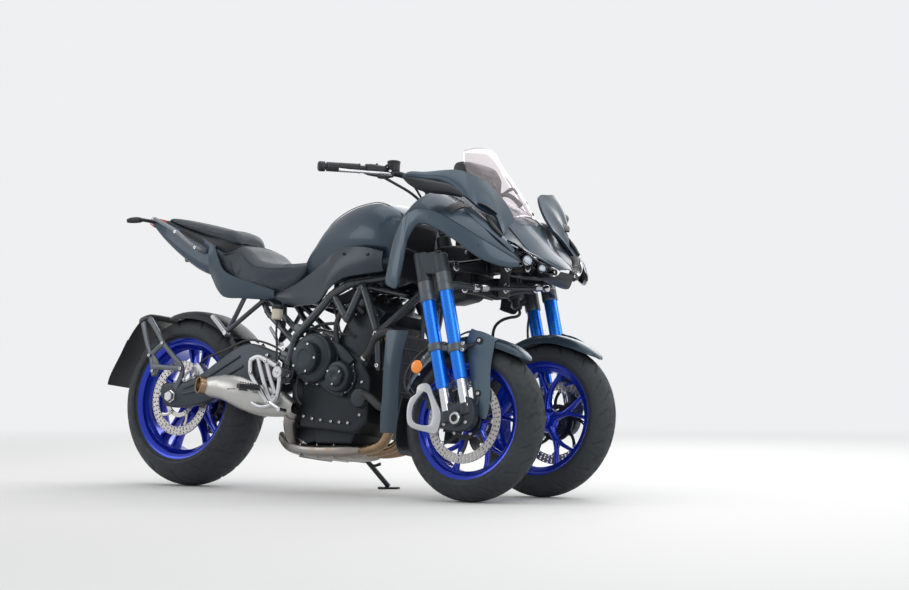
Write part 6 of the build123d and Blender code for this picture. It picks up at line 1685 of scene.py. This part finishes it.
# Mirrors
# Wide graphite blades sweep out from the nose's shoulders and end over black almond housings, each with its
# glass set into the back, turned to the rider.
BLADE_ROWS = (((1540, 112, 968), (1552, 158, 938), (1558, 194, 908)),
    ((1492, 108, 1030), (1522, 160, 984), (1546, 202, 938)), ((1436, 148, 1098), (1487, 184, 1034),
    (1530, 210, 970)), ((1424, 215, 1114), (1463, 236, 1050), (1492, 242, 988)),
    ((1405, 280, 1123), (1440, 292, 1070), (1464, 291, 1022)),
    ((1374, 335, 1114), (1390, 350, 1088), (1388, 346, 1064)),
    ((1340, 385, 1101), (1353, 395, 1084), (1352, 391, 1068)),
    ((1302, 430, 1094), (1306, 437, 1082), (1300, 435, 1070)),
    ((1287, 443, 1079), (1288, 445, 1075), (1287, 443, 1071)))
mirror_glass = finish("mirror_glass", "steel", (0.55, 0.58, 0.6), (0.6, 0.63, 0.66), (0.02, 0.05), 300.0,
    0.01, metal=1.0)
piece("mirror_blades", both_sides([ribbon(BLADE_ROWS, 6, 4)]), graphite, replaces=["mirrors"], wall=9.0,
    soft_edge=2.0)
shell = strut([(1440, 292, 1030), (1402, 330, 1046), (1366, 363, 1050), (1334, 394, 1055), (1306, 424, 1065),
    (1290, 441, 1074)], (24, 60, 72, 66, 36, 8), (16, 38, 44, 42, 26, 8), side_of=UP, square=0.8, sides=32)
piece("mirror_housings", both_sides([shell]), moulded_black)
glass = casting([(-46, -5), (-32, -14), (0, -17), (36, -13), (46, 4), (32, 14), (0, 16), (-32, 12)],
    (1328, 364, 1056), 4, 1, smooth=6, across=(-0.84, -0.54, 0), along=(-0.54, 0.84, 0))
piece("mirror_glasses", both_sides([glass]), mirror_glass)


# Handlebar and controls
# One tapered black tube in a two-bolt clamp on the steering stem, with ribbed grips, bar-end weights, alloy
# levers, switch housings, the brake fluid cup and the cables.
bend = ((1072, 0, 1092), (1072, 30, 1092), (1066, 80, 1102), (1044, 160, 1126), (1000, 228, 1127),
    (962, 287, 1127), (906, 352, 1120), (856, 408, 1114))
bar = both_sides([tube(bend, 11, 20, 6)])
stem_low, stem_top = np.array((1131.0, 0, 937.2)), np.array((1087.0, 0, 1042.0))
yoke = [rod(stem_low, stem_top, 14), strut([(1082, -52, 1046), (1082, 0, 1048), (1082, 52, 1046)],
    (56, 62, 56), (20, 22, 20), side_of=UP, square=0.5)]
yoke += both_sides([spun((1078, 30, 1044), (1073, 30, 1100), [(0, 19), (30, 17), (54, 18), (57, 15)], 28)])
piece("handlebar", bar, carrier_black, "handlebar")
piece("bar_clamp", yoke, cast_dark, "handlebar")
grip_line = np.array([(950, 300.2, 1125.5), (907, 351, 1120), (866, 394, 1115.2)])
u = grip_line[-1] - grip_line[0]
ribs = [(0, 16), (0.5, 18.5), (4, 18.5), (5, 16.2)]
for k in range(18):
    ribs += [(7 + 6.4 * k, 16.2), (8.2 + 6.4 * k, 17.2), (11 + 6.4 * k, 17.2), (12.2 + 6.4 * k, 16.2)]
piece("grips", both_sides([spun(grip_line[0], grip_line[-1], ribs, 28)]), hose_rubber, "handlebar")
ends = [spun(grip_line[-1], grip_line[-1] + u / np.linalg.norm(u) * 26,
    [(0, 15), (2, 18.5), (20, 18.5), (25, 15), (26, 8)], 28)]
piece("bar_ends", both_sides(ends), carrier_black, "handlebar")
switch = [strut([(1006, 218, 1127), (996, 234, 1127), (978, 262, 1127), (964, 284, 1127)], (34, 42, 42, 34),
    (36, 42, 42, 36), side_of=UP, square=0.6), strut([(998, 238, 1112), (1026, 248, 1110), (1062, 260, 1110)],
    (28, 26, 22), (24, 22, 20), side_of=UP, square=0.6), rod((1012, 222, 1146), (1008, 226, 1152), 7),
    rod((988, 250, 1146), (984, 254, 1151), 6)]
piece("switch_housings", both_sides(switch), moulded_black, "handlebar")
blade = [strut([(1056, 256, 1110), (1040, 290, 1108), (1006, 340, 1104), (974, 384, 1100), (946, 420, 1097)],
    (20, 18, 14, 14, 15), (15, 12, 10, 10, 12), side_of=UP)]
piece("levers", both_sides(blade + [screw((1052, 256, 1122), (0, 0, 1), 6, 5)]), bright_steel, "handlebar")
cup = [spun((1032, -206, 1128), (1028, -206, 1170), [(0, 18), (4, 22), (34, 22.5), (35, 24), (40, 24),
    (42, 21)], 32), tube([(1034, -206, 1134), (1020, -210, 1129), (1006, -214, 1127)], 9)]
piece("brake_cup", cup, moulded_black, "handlebar")
lines = [tube([(1060, -262, 1112), (1090, -250, 1118), (1112, -200, 1090), (1118, -130, 1040),
    (1120, -60, 990)], 4), tube([(1060, 262, 1112), (1092, 250, 1116), (1114, 200, 1086), (1118, 130, 1036),
    (1122, 60, 990)], 4), tube([(1000, -232, 1110), (1040, -210, 1090), (1084, -150, 1060),
    (1110, -60, 1010)], 5), tube([(1000, 232, 1110), (1040, 210, 1090), (1084, 150, 1060), (1110, 60, 1010)],
    5)]
piece("control_cables", lines, hose_rubber, "handlebar")
